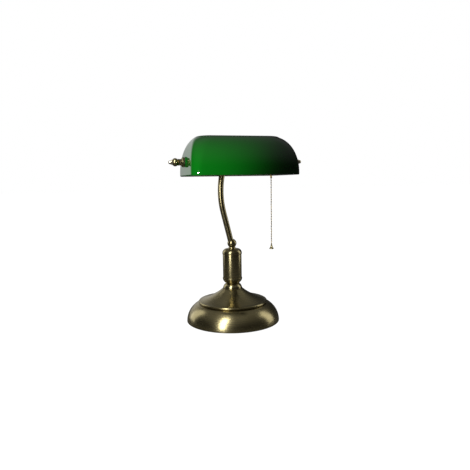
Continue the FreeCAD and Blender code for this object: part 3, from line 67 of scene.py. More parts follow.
class Wire:
    """A shader socket that adds Math nodes when it is used in an expression."""

    def __init__(self, shader: "Nodes", socket: bpy.types.NodeSocket) -> None:
        """Keep the socket and the nodes that it belongs to."""
        self.shader = shader
        self.socket = socket

    def _math(self, operation: str, *values: "Number") -> "Wire":
        """Add one Math node."""
        inputs = dict(enumerate(values))
        return self.shader.node("ShaderNodeMath", {"operation": operation}, inputs)

    def __add__(self, other: "Number") -> "Wire":
        """Sum."""
        return self._math("ADD", self, other)

    __radd__ = __add__

    def __sub__(self, other: "Number") -> "Wire":
        """Difference."""
        return self._math("SUBTRACT", self, other)

    def __rsub__(self, other: "Number") -> "Wire":
        """Difference the other way round."""
        return self._math("SUBTRACT", other, self)

    def __mul__(self, other: "Number") -> "Wire":
        """Product."""
        return self._math("MULTIPLY", self, other)

    __rmul__ = __mul__

    def __pow__(self, other: "Number") -> "Wire":
        """Power."""
        return self._math("POWER", self, other)

    def clamped(self) -> "Wire":
        """The value held between 0 and 1."""
        return self._math("MINIMUM", self._math("MAXIMUM", self, 0.0), 1.0)


Number = Union[Wire, float]


class Nodes:
    """A node tree and the means to add nodes to it."""

    def __init__(self, tree: bpy.types.NodeTree) -> None:
        """Empty the tree."""
        self.tree = tree
        tree.nodes.clear()

    def node(
        self,
        kind: str,
        settings: Optional[dict] = None,
        inputs: Optional[dict] = None,
        output: Union[int, str, None] = 0,
    ) -> Optional[Wire]:
        """Add a node.

        Args:
            kind: the node's type.
            settings: attributes, set before the sockets.
            inputs: a value or a wire for each named or numbered socket.
            output: the socket that is returned, if any.

        Returns:
            The chosen output as a wire.
        """
        made = self.tree.nodes.new(kind)
        for key, value in (settings or {}).items():
            setattr(made, key, value)
        for key, value in (inputs or {}).items():
            self.feed(made.inputs[key], value)
        return None if output is None else Wire(self, made.outputs[output])

    def feed(self, socket: bpy.types.NodeSocket, value: object) -> None:
        """Link a wire to a socket, or set its plain value."""
        if isinstance(value, Wire):
            self.tree.links.new(value.socket, socket)
        else:
            socket.default_value = value

    def combine(self, x: Number, y: Number, z: Number) -> Wire:
        """A vector from three numbers."""
        return self.node("ShaderNodeCombineXYZ", inputs={0: x, 1: y, 2: z})

    def split(self, vector: Wire) -> tuple[Wire, Wire, Wire]:
        """The three numbers of a vector."""
        outputs = self.node("ShaderNodeSeparateXYZ", inputs={0: vector}).socket.node.outputs
        return tuple(Wire(self, outputs[i]) for i in range(3))

    def step(self, value: Wire, low: float, high: float) -> Wire:
        """A smooth rise from 0 at low to 1 at high."""
        settings = {"interpolation_type": "SMOOTHSTEP"}
        return self.node("ShaderNodeMapRange", settings, {0: value, 1: low, 2: high})


class Shader(Nodes):
    """One material with a Principled surface."""

    def __init__(self, name: str) -> None:
        """Make the material."""
        self.material = bpy.data.materials.new(name)
        self.material.use_nodes = True
        super().__init__(self.material.node_tree)
        output = self.tree.nodes.new("ShaderNodeOutputMaterial")
        self.surface = self.tree.nodes.new("ShaderNodeBsdfPrincipled")
        self.tree.links.new(self.surface.outputs[0], output.inputs["Surface"])

    def set(self, **inputs: object) -> None:
        """Set Principled sockets; an underscore stands for a space."""
        for key, value in inputs.items():
            self.feed(self.surface.inputs[key.replace("_", " ")], value)

    def place(self) -> Wire:
        """Object coordinates."""
        return self.node("ShaderNodeTexCoord", output="Object")

    def axes(self) -> tuple[Wire, Wire, Wire]:
        """The three Object coordinates as numbers."""
        return self.split(self.place())

    def noise(self, vector: Wire, scale: float, detail: float = 3.0) -> Wire:
        """Noise between 0 and 1."""
        inputs = {"Vector": vector, "Scale": scale, "Detail": detail}
        return self.node("ShaderNodeTexNoise", inputs=inputs)

    def blend(self, amount: Number, first: Union[Wire, Colour], second: Union[Wire, Colour]) -> Wire:
        """Mix two colours; amount 0 gives the first."""
        inputs = {0: amount, 6: opaque(first), 7: opaque(second)}
        return self.node("ShaderNodeMix", {"data_type": "RGBA"}, inputs, output=2)

    def bump(self, height: Wire, distance: float, strength: float = 1.0) -> Wire:
        """A normal roughened by a height."""
        inputs = {"Height": height, "Distance": distance, "Strength": strength}
        return self.node("ShaderNodeBump", inputs=inputs)

    def attribute(self, name: str) -> Wire:
        """A number stored on the mesh."""
        return self.node("ShaderNodeAttribute", {"attribute_name": name}, output="Fac")


def opaque(colour: Union[Wire, Colour]) -> object:
    """A colour with full alpha; a wire passes through."""
    return colour if isinstance(colour, Wire) else (*colour, 1.0)


# ---------------------------------------------------------------- finishes


class Brushing(Enum):
    """Which way the fine lines of a metal finish run."""

    ROUND_Z = "rings about the stem"
    ROUND_X = "rings about the shade's pivot axis"
    ALONG = "along an upright tube"
    NONE = "no lines"


@dataclass(frozen=True)
class Brass:
    """Darkened brass: fine lines, cloudy patina, dark hollows.

    Attributes:
        name: the material's name.
        bright: colour where the brass is rubbed bright.
        dark: colour of the patina.
        roughness: mean roughness.
        brushing: which way the fine lines run.
        grain: lines for each metre, about.
        hollow: how much darker the hollows are, from 0 to 1.
        stretch: how far the highlights are drawn out across the lines.
        line_depth: depth of the lines in the bump, in metres.
        line_strength: strength of that bump.
    """

    name: str
    bright: Colour
    dark: Colour
    roughness: float
    brushing: Brushing = Brushing.NONE
    grain: float = 2600.0
    hollow: float = 0.75
    stretch: float = 0.0
    line_depth: float = 0.02 * MM
    line_strength: float = 0.12

    def _lines(self, shader: Shader) -> Wire:
        """Noise that is long along the lines and short across them."""
        x, y, z = shader.axes()
        if self.brushing is Brushing.ROUND_Z:
            reach = (x * x + y * y) ** 0.5
            return shader.noise(shader.combine(reach, 0.0, z), self.grain)
        if self.brushing is Brushing.ROUND_X:
            return shader.noise(shader.combine(x, 0.0, 0.0), self.grain)
        return shader.noise(shader.combine(x, y, z * 0.02), self.grain)

    def material(self) -> bpy.types.Material:
        """Build the material."""
        shader = Shader(self.name)
        cloud = shader.noise(shader.place(), 34.0, 5.0)
        hollow = (shader.attribute("cavity") * self.hollow).clamped()
        lit = shader.blend((cloud * 1.6 - 0.35).clamped(), self.bright, self.dark)
        deep = tuple(c * 0.16 for c in self.dark)
        shader.set(Metallic=1.0, IOR=1.45, Anisotropic=self.stretch, Anisotropic_Rotation=0.25)
        if self.brushing is Brushing.NONE:
            shader.set(Roughness=(cloud * 0.1 + (self.roughness - 0.05)))
            shader.set(Base_Color=shader.blend(hollow, lit, deep))
            return shader.material
        lines = self._lines(shader)
        toned = shader.blend((lines * 0.5 - 0.05).clamped(), lit, self.dark)
        shader.set(
            Base_Color=shader.blend(hollow, toned, deep),
            Roughness=(lines * 0.14 + cloud * 0.08 + (self.roughness - 0.11)),
            Normal=shader.bump(lines, self.line_depth, self.line_strength),
        )
        return shader.material


@dataclass(frozen=True)
class CasedGlass:
    """Polished coloured glass over a white layer, so that light doesn't pass."""

    name: str
    colour: Colour
    deep: Colour
    roughness: float = 0.045

    def material(self) -> bpy.types.Material:
        """Build the material."""
        shader = Shader(self.name)
        cloud = shader.noise(shader.place(), 9.0, 2.0)
        wave = shader.noise(shader.place(), 14.0, 1.0)
        shader.set(
            Base_Color=shader.blend(cloud, self.colour, self.deep),
            Roughness=self.roughness,
            IOR=1.52,
            Normal=shader.bump(wave, 0.25 * MM, 0.25),
        )
        return shader.material


@dataclass(frozen=True)
class Plain:
    """A finish of one colour with a little unevenness."""

    name: str
    colour: Colour
    roughness: float
    metallic: float = 0.0
    mottle: float = 0.25
    scale: float = 300.0
    grain: float = 0.0

    def material(self) -> bpy.types.Material:
        """Build the material."""
        shader = Shader(self.name)
        cloud = shader.noise(shader.place(), self.scale, 4.0)
        shade = tuple(c * (1.0 - self.mottle) for c in self.colour)
        shader.set(
            Base_Color=shader.blend(cloud, self.colour, shade),
            Roughness=(cloud * 0.12 + (self.roughness - 0.06)),
            Metallic=self.metallic,
        )
        if self.grain:
            shader.set(Normal=shader.bump(cloud, self.grain * MM, 0.8))
        return shader.material


OLIVE: Colour = (0.44, 0.38, 0.20)
OLIVE_DARK: Colour = (0.27, 0.225, 0.11)

SPUN = Brass("spun_antique_brass", OLIVE, OLIVE_DARK, 0.27, Brushing.ROUND_Z, stretch=0.6)
DRAWN = Brass("drawn_antique_brass", OLIVE, OLIVE_DARK, 0.24, Brushing.ALONG)
TURNED = Brass("turned_antique_brass", OLIVE, OLIVE_DARK, 0.24, Brushing.ROUND_X)
SPUN_SMALL = Brass("small_antique_brass", OLIVE, OLIVE_DARK, 0.30, hollow=0.6)
PALE = Brass("pale_polished_brass", (0.82, 0.76, 0.55), (0.62, 0.55, 0.36), 0.22, hollow=0.2)
YELLOW = Brass("yellow_brass", (0.72, 0.56, 0.26), (0.50, 0.37, 0.15), 0.24)
GREEN = CasedGlass("green_cased_glass", (0.0004, 0.030, 0.0012), (0.0003, 0.025, 0.0010))
OPAL = Plain("white_opal_layer", (0.86, 0.87, 0.83), 0.16, mottle=0.03, scale=30.0)
FROSTED = Plain("frosted_white_glass", (0.90, 0.90, 0.86), 0.42, mottle=0.02, scale=60.0)
STEEL = Plain("zinc_plated_steel", (0.55, 0.55, 0.53), 0.30, metallic=1.0)
LAMP_METAL = Plain("pressed_lamp_metal", (0.74, 0.74, 0.72), 0.26, metallic=1.0, mottle=0.1)
IRON = Plain("rough_cast_iron", (0.07, 0.07, 0.072), 0.72, metallic=0.6, grain=0.15)
FELT = Plain("dark_green_felt", (0.012, 0.045, 0.02), 0.95, mottle=0.5, scale=900.0, grain=0.4)
MOULDED = Plain("black_moulding", (0.018, 0.018, 0.018), 0.42, mottle=0.2)
CARD = Plain("insulating_card", (0.23, 0.15, 0.08), 0.8, mottle=0.3, scale=500.0)
RUBBER = Plain("soft_black_rubber", (0.02, 0.02, 0.02), 0.7, mottle=0.2)

Finish = Union[Brass, CasedGlass, Plain]
_made: dict[str, bpy.types.Material] = {}


def dress(finish: Finish) -> bpy.types.Material:
    """The material of a finish, built once."""
    if finish.name not in _made:
        _made[finish.name] = finish.material()
    return _made[finish.name]


# ---------------------------------------------------------------- outlines


def arc(start: Sequence[float], end: Sequence[float], radius: float, side: int) -> np.ndarray:
    """Points of an arc after its start, up to and with its end.

    The centre lies on the chord's middle normal, at the distance that makes
    both ends one radius away.

    Args:
        start: first point.
        end: last point.
        radius: the arc's radius.
        side: 1 to bulge to the left of the way, -1 to the right.

    Returns:
        The points as rows.
    """
    a, b = np.asarray(start, float), np.asarray(end, float)
    chord = b - a
    length = float(np.hypot(*chord))
    left = np.array([-chord[1], chord[0]]) / length
    sink = math.sqrt(max(radius * radius - length * length / 4.0, 0.0))
    centre = (a + b) / 2.0 - left * side * sink
    first = math.atan2(*(a - centre)[::-1])
    sweep = -side * 2.0 * math.asin(min(1.0, length / 2.0 / radius))
    count = max(4, int(abs(sweep) / math.radians(4.0)) + 1)
    angles = first + sweep * np.arange(1, count + 1) / count
    return centre + radius * np.stack([np.cos(angles), np.sin(angles)], axis=1)


def outline(corners: Iterable[Corner], easing: float = 0.25) -> np.ndarray:
    """A closed or open line through corners, in metres from millimetres.

    A corner is (x, y), or (x, y, radius, side) for an arc that arrives there.
    Sharp corners are eased by a short curve, so that they catch the light.

    Args:
        corners: the corners in millimetres.
        easing: length that a sharp corner is cut back by, in millimetres.

    Returns:
        The points as rows, in metres.
    """
    points: list[np.ndarray] = []
    for corner in corners:
        here = np.array(corner[:2], float)
        if len(corner) == 2:
            points.append(here)
        else:
            points.extend(arc(points[-1], here, corner[2], corner[3]))
    line = np.array(points)
    eased = [line[0]]
    for before, here, after in zip(line[:-2], line[1:-1], line[2:]):
        eased.extend(ease(before, here, after, easing))
    eased.append(line[-1])
    return np.array(eased) * MM


def ease(before: np.ndarray, here: np.ndarray, after: np.ndarray, cut: float) -> list[np.ndarray]:
    """A sharp corner as a short quadratic curve; a blunt one as it is.

    Args:
        before: the point before the corner.
        here: the corner.
        after: the point after it.
        cut: length that the corner is cut back by, at most 0.45 of a side.

    Returns:
        The points that stand for the corner.
    """
    back, ahead = before - here, after - here
    back_length, ahead_length = np.hypot(*back), np.hypot(*ahead)
    cosine = float(back @ ahead) / (back_length * ahead_length + 1e-12)
    if cosine < -0.93:
        return [here]
    a = here + back * min(cut / back_length, 0.45)
    b = here + ahead * min(cut / ahead_length, 0.45)
    shares = np.linspace(0.0, 1.0, 5)
    return [(1 - t) ** 2 * a + 2 * t * (1 - t) * here + t * t * b for t in shares]


def hollows(line: np.ndarray, reach: float = 1.4 * MM) -> np.ndarray:
    """How deep each point of an outline lies in a hollow, from 0 to 1.

    It is the distance from the point out to the middle of its neighbours
    within reach, measured along the outward normal, over 0.14 of reach.

    Args:
        line: the outline's points, with the solid on its left.
        reach: how far the neighbours may be.

    Returns:
        One value for each point.
    """
    gaps = np.linalg.norm(line[:, None, :] - line[None, :, :], axis=2)
    weight = np.clip(1.0 - gaps / reach, 0.0, 1.0)
    middle = (weight @ line) / weight.sum(axis=1, keepdims=True)
    way = np.gradient(line, axis=0)
    normal = np.stack([way[:, 1], -way[:, 0]], axis=1)
    normal /= np.linalg.norm(normal, axis=1, keepdims=True) + 1e-12
    depth = ((middle - line) * normal).sum(axis=1)
    return np.clip(depth / (0.14 * reach), 0.0, 1.0)


# ---------------------------------------------------------------- meshes


@dataclass
class Grid:
    """A surface as rows and columns of points.

    Attributes:
        points: array of rows, columns and three coordinates.
        cavity: one value for each row, or none.
        closed_rows: the last row joins the first.
        closed_columns: the last column joins the first.
        slots: the material's number for each face, or none.
    """

    points: np.ndarray
    cavity: Optional[np.ndarray] = None
    closed_rows: bool = False
    closed_columns: bool = True
    slots: Optional[np.ndarray] = None

    def faces(self) -> np.ndarray:
        """Four point numbers for each face."""
        rows, columns = self.points.shape[:2]
        number = np.arange(rows * columns).reshape(rows, columns)
        if self.closed_rows:
            number = np.vstack([number, number[:1]])
        if self.closed_columns:
            number = np.hstack([number, number[:, :1]])
        quads = (number[:-1, :-1], number[1:, :-1], number[1:, 1:], number[:-1, 1:])
        return np.stack(quads, axis=-1).reshape(-1, 4)


def about_z(line: np.ndarray, centre: Sequence[float], steps: int = 128, **facts: bool) -> Grid:
    """Turn an outline of (radius, height) about an upright axis.

    Point = centre + (radius cos a, radius sin a, height) for each angle a.

    Args:
        line: the outline's points.
        centre: a point on the axis.
        steps: number of angles.
        facts: the grid's other fields.

    Returns:
        The turned surface.
    """
    angles = np.arange(steps) * TURN / steps
    radius, height = line[:, :1], line[:, 1:]
    x = radius * np.cos(angles)
    y = radius * np.sin(angles)
    z = np.broadcast_to(height, x.shape)
    return Grid(np.stack([x, y, z], axis=-1) + np.asarray(centre), hollows(line), **facts)


def about_x(
    line: np.ndarray, centre: Sequence[float], steps: int = 72, sign: int = 1, **facts: bool
) -> Grid:
    """Turn an outline of (distance along X, radius) about a level axis.

    Point = centre + (sign distance, radius cos a, radius sin a).

    Args:
        line: the outline's points.
        centre: a point on the axis.
        steps: number of angles.
        sign: -1 to run towards the left, 1 to the right.
        facts: the grid's other fields.

    Returns:
        The turned surface.
    """
    angles = np.arange(steps) * TURN / steps
    along, radius = line[:, :1], line[:, 1:]
    y = radius * np.cos(angles)
    z = radius * np.sin(angles)
    x = sign * np.broadcast_to(along, y.shape)
    back = hollows(line[::-1])[::-1]
    return Grid(np.stack([x, y, z], axis=-1) + np.asarray(centre), back, **facts)


def build(
    name: str,
    grids: Sequence[Grid],
    finishes: Sequence[Finish],
    body: str,
    stands_for: Sequence[str] = (),
    crease: float = 34.0,
) -> bpy.types.Object:
    """Make one piece from one or more closed grids.

    Args:
        name: the piece's name.
        grids: the surfaces it is made of.
        finishes: its materials, in slot order.
        body: the CAD body it rides on.
        stands_for: CAD nodes it is shown in place of.
        crease: angle in degrees over which an edge stays sharp.

    Returns:
        The finished object.
    """
    mesh = bpy.data.meshes.new(name)
    points = np.concatenate([g.points.reshape(-1, 3) for g in grids])
    starts = np.cumsum([0] + [g.points.shape[0] * g.points.shape[1] for g in grids])
    faces = np.concatenate([g.faces() + s for g, s in zip(grids, starts)])
    mesh.from_pydata(points.tolist(), [], faces.tolist())
    spread = [
        np.repeat(g.cavity if g.cavity is not None else np.zeros(g.points.shape[0]), g.points.shape[1])
        for g in grids
    ]
    mesh.attributes.new("cavity", "FLOAT", "POINT").data.foreach_set("value", np.concatenate(spread))
    slots = [
        g.slots if g.slots is not None else np.zeros(len(g.faces()), int) for g in grids
    ]
    mesh.polygons.foreach_set("material_index", np.concatenate(slots))
    close(mesh)
    return enlist(name, mesh, finishes, body, stands_for, crease)


def close(mesh: bpy.types.Mesh, outwards: bool = True) -> None:
    """Merge points that coincide, drop flat faces and turn faces outwards.

    Args:
        mesh: the mesh that is changed.
        outwards: whether the faces are turned.
    """
    work = bmesh.new()
    work.from_mesh(mesh)
    bmesh.ops.remove_doubles(work, verts=work.verts, dist=1e-7)
    bmesh.ops.dissolve_degenerate(work, edges=work.edges, dist=1e-8)
    if outwards:
        bmesh.ops.recalc_face_normals(work, faces=work.faces)
    work.to_mesh(mesh)
    work.free()


def enlist(
    name: str,
    mesh: bpy.types.Mesh,
    finishes: Sequence[Finish],
    body: str,
    stands_for: Sequence[str],
    crease: float,
) -> bpy.types.Object:
    """Put a mesh in the scene as a piece with its body, slot and finish.

    Args:
        name: the piece's name.
        mesh: its finished mesh.
        finishes: its materials, in slot order.
        body: the CAD body it rides on.
        stands_for: CAD nodes it is shown in place of.
        crease: angle in degrees over which an edge stays sharp.

    Returns:
        The finished object.
    """
    mesh.polygons.foreach_set("use_smooth", np.ones(len(mesh.polygons), bool))
    mesh.set_sharp_from_angle(angle=math.radians(crease))
    for finish in finishes:
        mesh.materials.append(dress(finish))
    piece = bpy.data.objects.new(name, mesh)
    bpy.context.scene.collection.objects.link(piece)
    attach(piece, body)
    if stands_for:
        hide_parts(*stands_for)
    log.info("piece %s on %s: %d faces", name, body, len(mesh.polygons))
    return piece


def smoothed(node: str, finish: Finish, body: str, crease: float = 30.0) -> bpy.types.Object:
    """A piece from a CAD node's own shape, with its points merged and shaded smooth.

    Args:
        node: the CAD node.
        finish: its material.
        body: the CAD body it rides on.
        crease: angle in degrees over which an edge stays sharp.

    Returns:
        The finished object.
    """
    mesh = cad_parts[node].data.copy()
    mesh.name = f"{node}_piece"
    mesh.materials.clear()
    mesh.polygons.foreach_set("material_index", np.zeros(len(mesh.polygons), int))
    close(mesh, outwards=False)
    return enlist(f"{node}_piece", mesh, [finish], body, [node], crease)


def paint(finish: Finish, *nodes: str) -> None:
    """Give CAD nodes, shown as they are, a finish.

    Args:
        finish: the material.
        nodes: the CAD nodes.
    """
    for node in nodes:
        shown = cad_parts[node]
        shown.data.materials.clear()
        shown.data.materials.append(dress(finish))
        shown.data.polygons.foreach_set(
            "material_index", np.zeros(len(shown.data.polygons), int))
        log.info("painted %s with %s", node, finish.name)


# ---------------------------------------------------------------- base and column


@dataclass
class Base:
    """Spun shell with its lip and flare, the weight, plate, felt and cord inlet."""

    radius: float = field(default_factory=lambda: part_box("base_shell")[1].x / MM)
    top: float = field(default_factory=lambda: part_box("base_shell")[1].z / MM)
    lift: float = 1.0
    wall: float = 1.2
    side_round: float = 37.6
    side_turn: float = math.radians(48.9)
    top_round: float = 23.0
    step: tuple[float, float] = (63.6, 35.6)
    lip: float = 66.6
    lip_height: float = 38.2
    lip_round: float = 2.4
    flare_round: float = 100.0
    flare_top: float = 19.6
    hole: float = 5.1

    def turn(self, inset: float) -> tuple[float, float]:
        """Where the bowl's side meets its upper turn.

        Args:
            inset: distance of the skin inside the outer one, in millimetres.

        Returns:
            Radius and height in millimetres.
        """
        reach = self.side_round - inset
        middle = self.radius - self.side_round
        return (middle + reach * math.cos(self.side_turn), self.lift + reach * math.sin(self.side_turn))

    def shell(self) -> None:
        """The shell: bowl, groove, rolled lip and hollow flare."""
        edge = self.lip - self.lip_round
        line = outline([
            (self.radius - self.wall, self.lift),
            (self.radius, self.lift),
            (*self.turn(0.0), self.side_round, -1),
            (*self.step, self.top_round, -1),
            (edge, self.lip_height - self.lip_round),
            (edge, self.lip_height + self.lip_round, self.lip_round, -1),
            (self.flare_top, self.top, self.flare_round, 1),
            (self.hole, self.top),
            (self.hole, self.top - self.wall),
            (self.flare_top - self.wall, self.top - self.wall),
            (edge - self.wall, self.lip_height, self.flare_round + self.wall, -1),
            (self.step[0] - self.wall, self.step[1] - self.wall),
            (*self.turn(self.wall), self.top_round - self.wall, 1),
            (self.radius - self.wall, self.lift, self.side_round - self.wall, 1),
        ])
        grid = about_z(line, (0, 0, 0), 180)
        build("base_shell_piece", [grid], [SPUN], "stand", ["base_shell"])

    def make(self) -> None:
        """Build and dress the whole base."""
        self.shell()
        paint(FELT, "felt_pad")
        paint(STEEL, "base_plate", "base_plate_screws", "stem_washer", "stem_nut", "stem_rod")
        paint(IRON, "base_weight")
        paint(MOULDED, "terminal_block")
        smoothed("cord_grommet", MOULDED, "stand")


@dataclass
class Column:
    """Collar, foot, tube, cap and the ball fitting above them."""

    bore: float = 5.1
    lip: float = 18.9
    waist: float = 11.7
    collar_foot: float = field(default_factory=lambda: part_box("base_collar")[0].z / MM)
    waist_height: float = field(default_factory=lambda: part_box("column_foot")[0].z / MM)
    foot_top: float = field(default_factory=lambda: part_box("column_tube")[0].z / MM)
    tube_top: float = field(default_factory=lambda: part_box("column_tube")[1].z / MM)
    cap_top: float = field(default_factory=lambda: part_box("column_cap")[1].z / MM)
    tube_radius: float = field(default_factory=lambda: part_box("column_tube")[1].x / MM)

    def lathe(self, name: str, corners: Iterable[Corner], node: str) -> None:
        """One turned ring of the column."""
        grid = about_z(outline(corners), (0, 0, 0), 128, closed_rows=True)
        build(name, [grid], [SPUN], "stand", [node])

    def make(self) -> None:
        """Build the column from its collar up to the ball fitting."""
        groove = self.collar_foot + 1.8
        self.lathe("base_collar_piece", [
            (self.bore, self.collar_foot), (self.lip, self.collar_foot), (self.lip, groove),
            (self.lip - 0.7, groove), (self.lip - 0.7, groove + 0.7),
            (self.waist, self.waist_height, 10.0, -1), (self.bore, self.waist_height),
        ], "base_collar")
        self.lathe("column_foot_piece", [
            (self.bore, self.waist_height), (self.waist, self.waist_height),
            (self.lip, self.foot_top - 2.6, 12.0, -1), (self.lip, self.foot_top),
            (self.bore, self.foot_top),
        ], "column_foot")
        tube = self.tube_radius
        self.lathe("column_tube_piece", [
            (tube - 1.6, self.foot_top), (tube, self.foot_top), (tube, self.tube_top),
            (tube - 1.6, self.tube_top),
        ], "column_tube")
        self.lathe("column_cap_piece", [
            (self.bore, self.tube_top), (self.lip, self.tube_top), (self.lip, self.tube_top + 2.4),
            (10.2, self.cap_top, 8.7, -1), (self.bore, self.cap_top),
        ], "column_cap")
        smoothed("arm_fitting", SPUN, "stand")


@dataclass
class Arm:
    """The bowed tube, the hub on its end, the yoke and its bushes."""

    foot: float = field(default_factory=lambda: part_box("arm_tube")[0].z / MM)
    radius: float = 5.5
    bore: float = 4.3
    heel: float = 1.2
    heel_round: float = 12.0
    lean: float = math.radians(13.6)
    lean_length: float = 66.4
    bow_round: float = 165.0
    bow_end: float = math.radians(9.5)
    neck_round: float = 62.0
    neck_end: float = math.radians(27.0)

    def route(self) -> tuple[np.ndarray, np.ndarray]:
        """Centre line in the XZ plane, and its lean to the right at each point.

        The line is summed from short steps (sin lean, cos lean) whose lean
        changes evenly along each bend.

        Returns:
            The points in metres, and the lean in radians.
        """
        bends = (
            (self.heel, 0.0, 0.0),
            (self.heel_round * self.lean, 0.0, -self.lean),
            (self.lean_length, -self.lean, -self.lean),
            (self.bow_round * (self.lean + self.bow_end), -self.lean, self.bow_end),
            (self.neck_round * (self.neck_end - self.bow_end), self.bow_end, self.neck_end),
        )
        leans, steps = [], []
        for length, start, end in bends:
            count = max(2, int(length / 1.5))
            shares = (np.arange(count) + 0.5) / count
            leans.append(start + (end - start) * shares)
            steps.append(np.full(count, length / count))
        lean, step = np.concatenate(leans), np.concatenate(steps)
        way = np.stack([np.sin(lean), np.cos(lean)], axis=1) * step[:, None]
        line = np.vstack([[0.0, self.foot], [0.0, self.foot] + np.cumsum(way, axis=0)])
        ends = np.concatenate([[0.0], (lean[:-1] + lean[1:]) / 2.0, [self.neck_end]])
        return line * MM, ends

    def tube(self) -> None:
        """Carry a ring along the route: across = (cos lean, -sin lean) and Y."""
        line, lean = self.route()
        angles = np.arange(56) * TURN / 56
        across = np.stack([np.cos(lean), -np.sin(lean)], axis=1)

        def skin(radius: float, order: slice) -> np.ndarray:
            """The tube's rings at one radius, in the order of a slice."""
            side = radius * MM * np.cos(angles)
            x = line[:, :1] + across[:, :1] * side
            z = line[:, 1:] + across[:, 1:] * side
            y = np.broadcast_to(radius * MM * np.sin(angles), x.shape)
            return np.stack([x, y, z], axis=-1)[order]

        whole = np.concatenate([skin(self.radius, slice(None)), skin(self.bore, slice(None, None, -1))])
        grid = Grid(whole, closed_rows=True)
        build("arm_tube_piece", [grid], [DRAWN], "stand", ["arm_tube"], crease=50)

    def make(self) -> None:
        """Build the arm and dress what it carries."""
        self.tube()
        smoothed("yoke_hub", SPUN, "stand")
        smoothed("yoke", DRAWN, "stand")
        smoothed("hub_screw", STEEL, "stand")
        for side in ("left", "right"):
            smoothed(f"{side}_pivot_bush", YELLOW, "stand")
        paint(YELLOW, "left_bush_nut")


# ---------------------------------------------------------------- shade


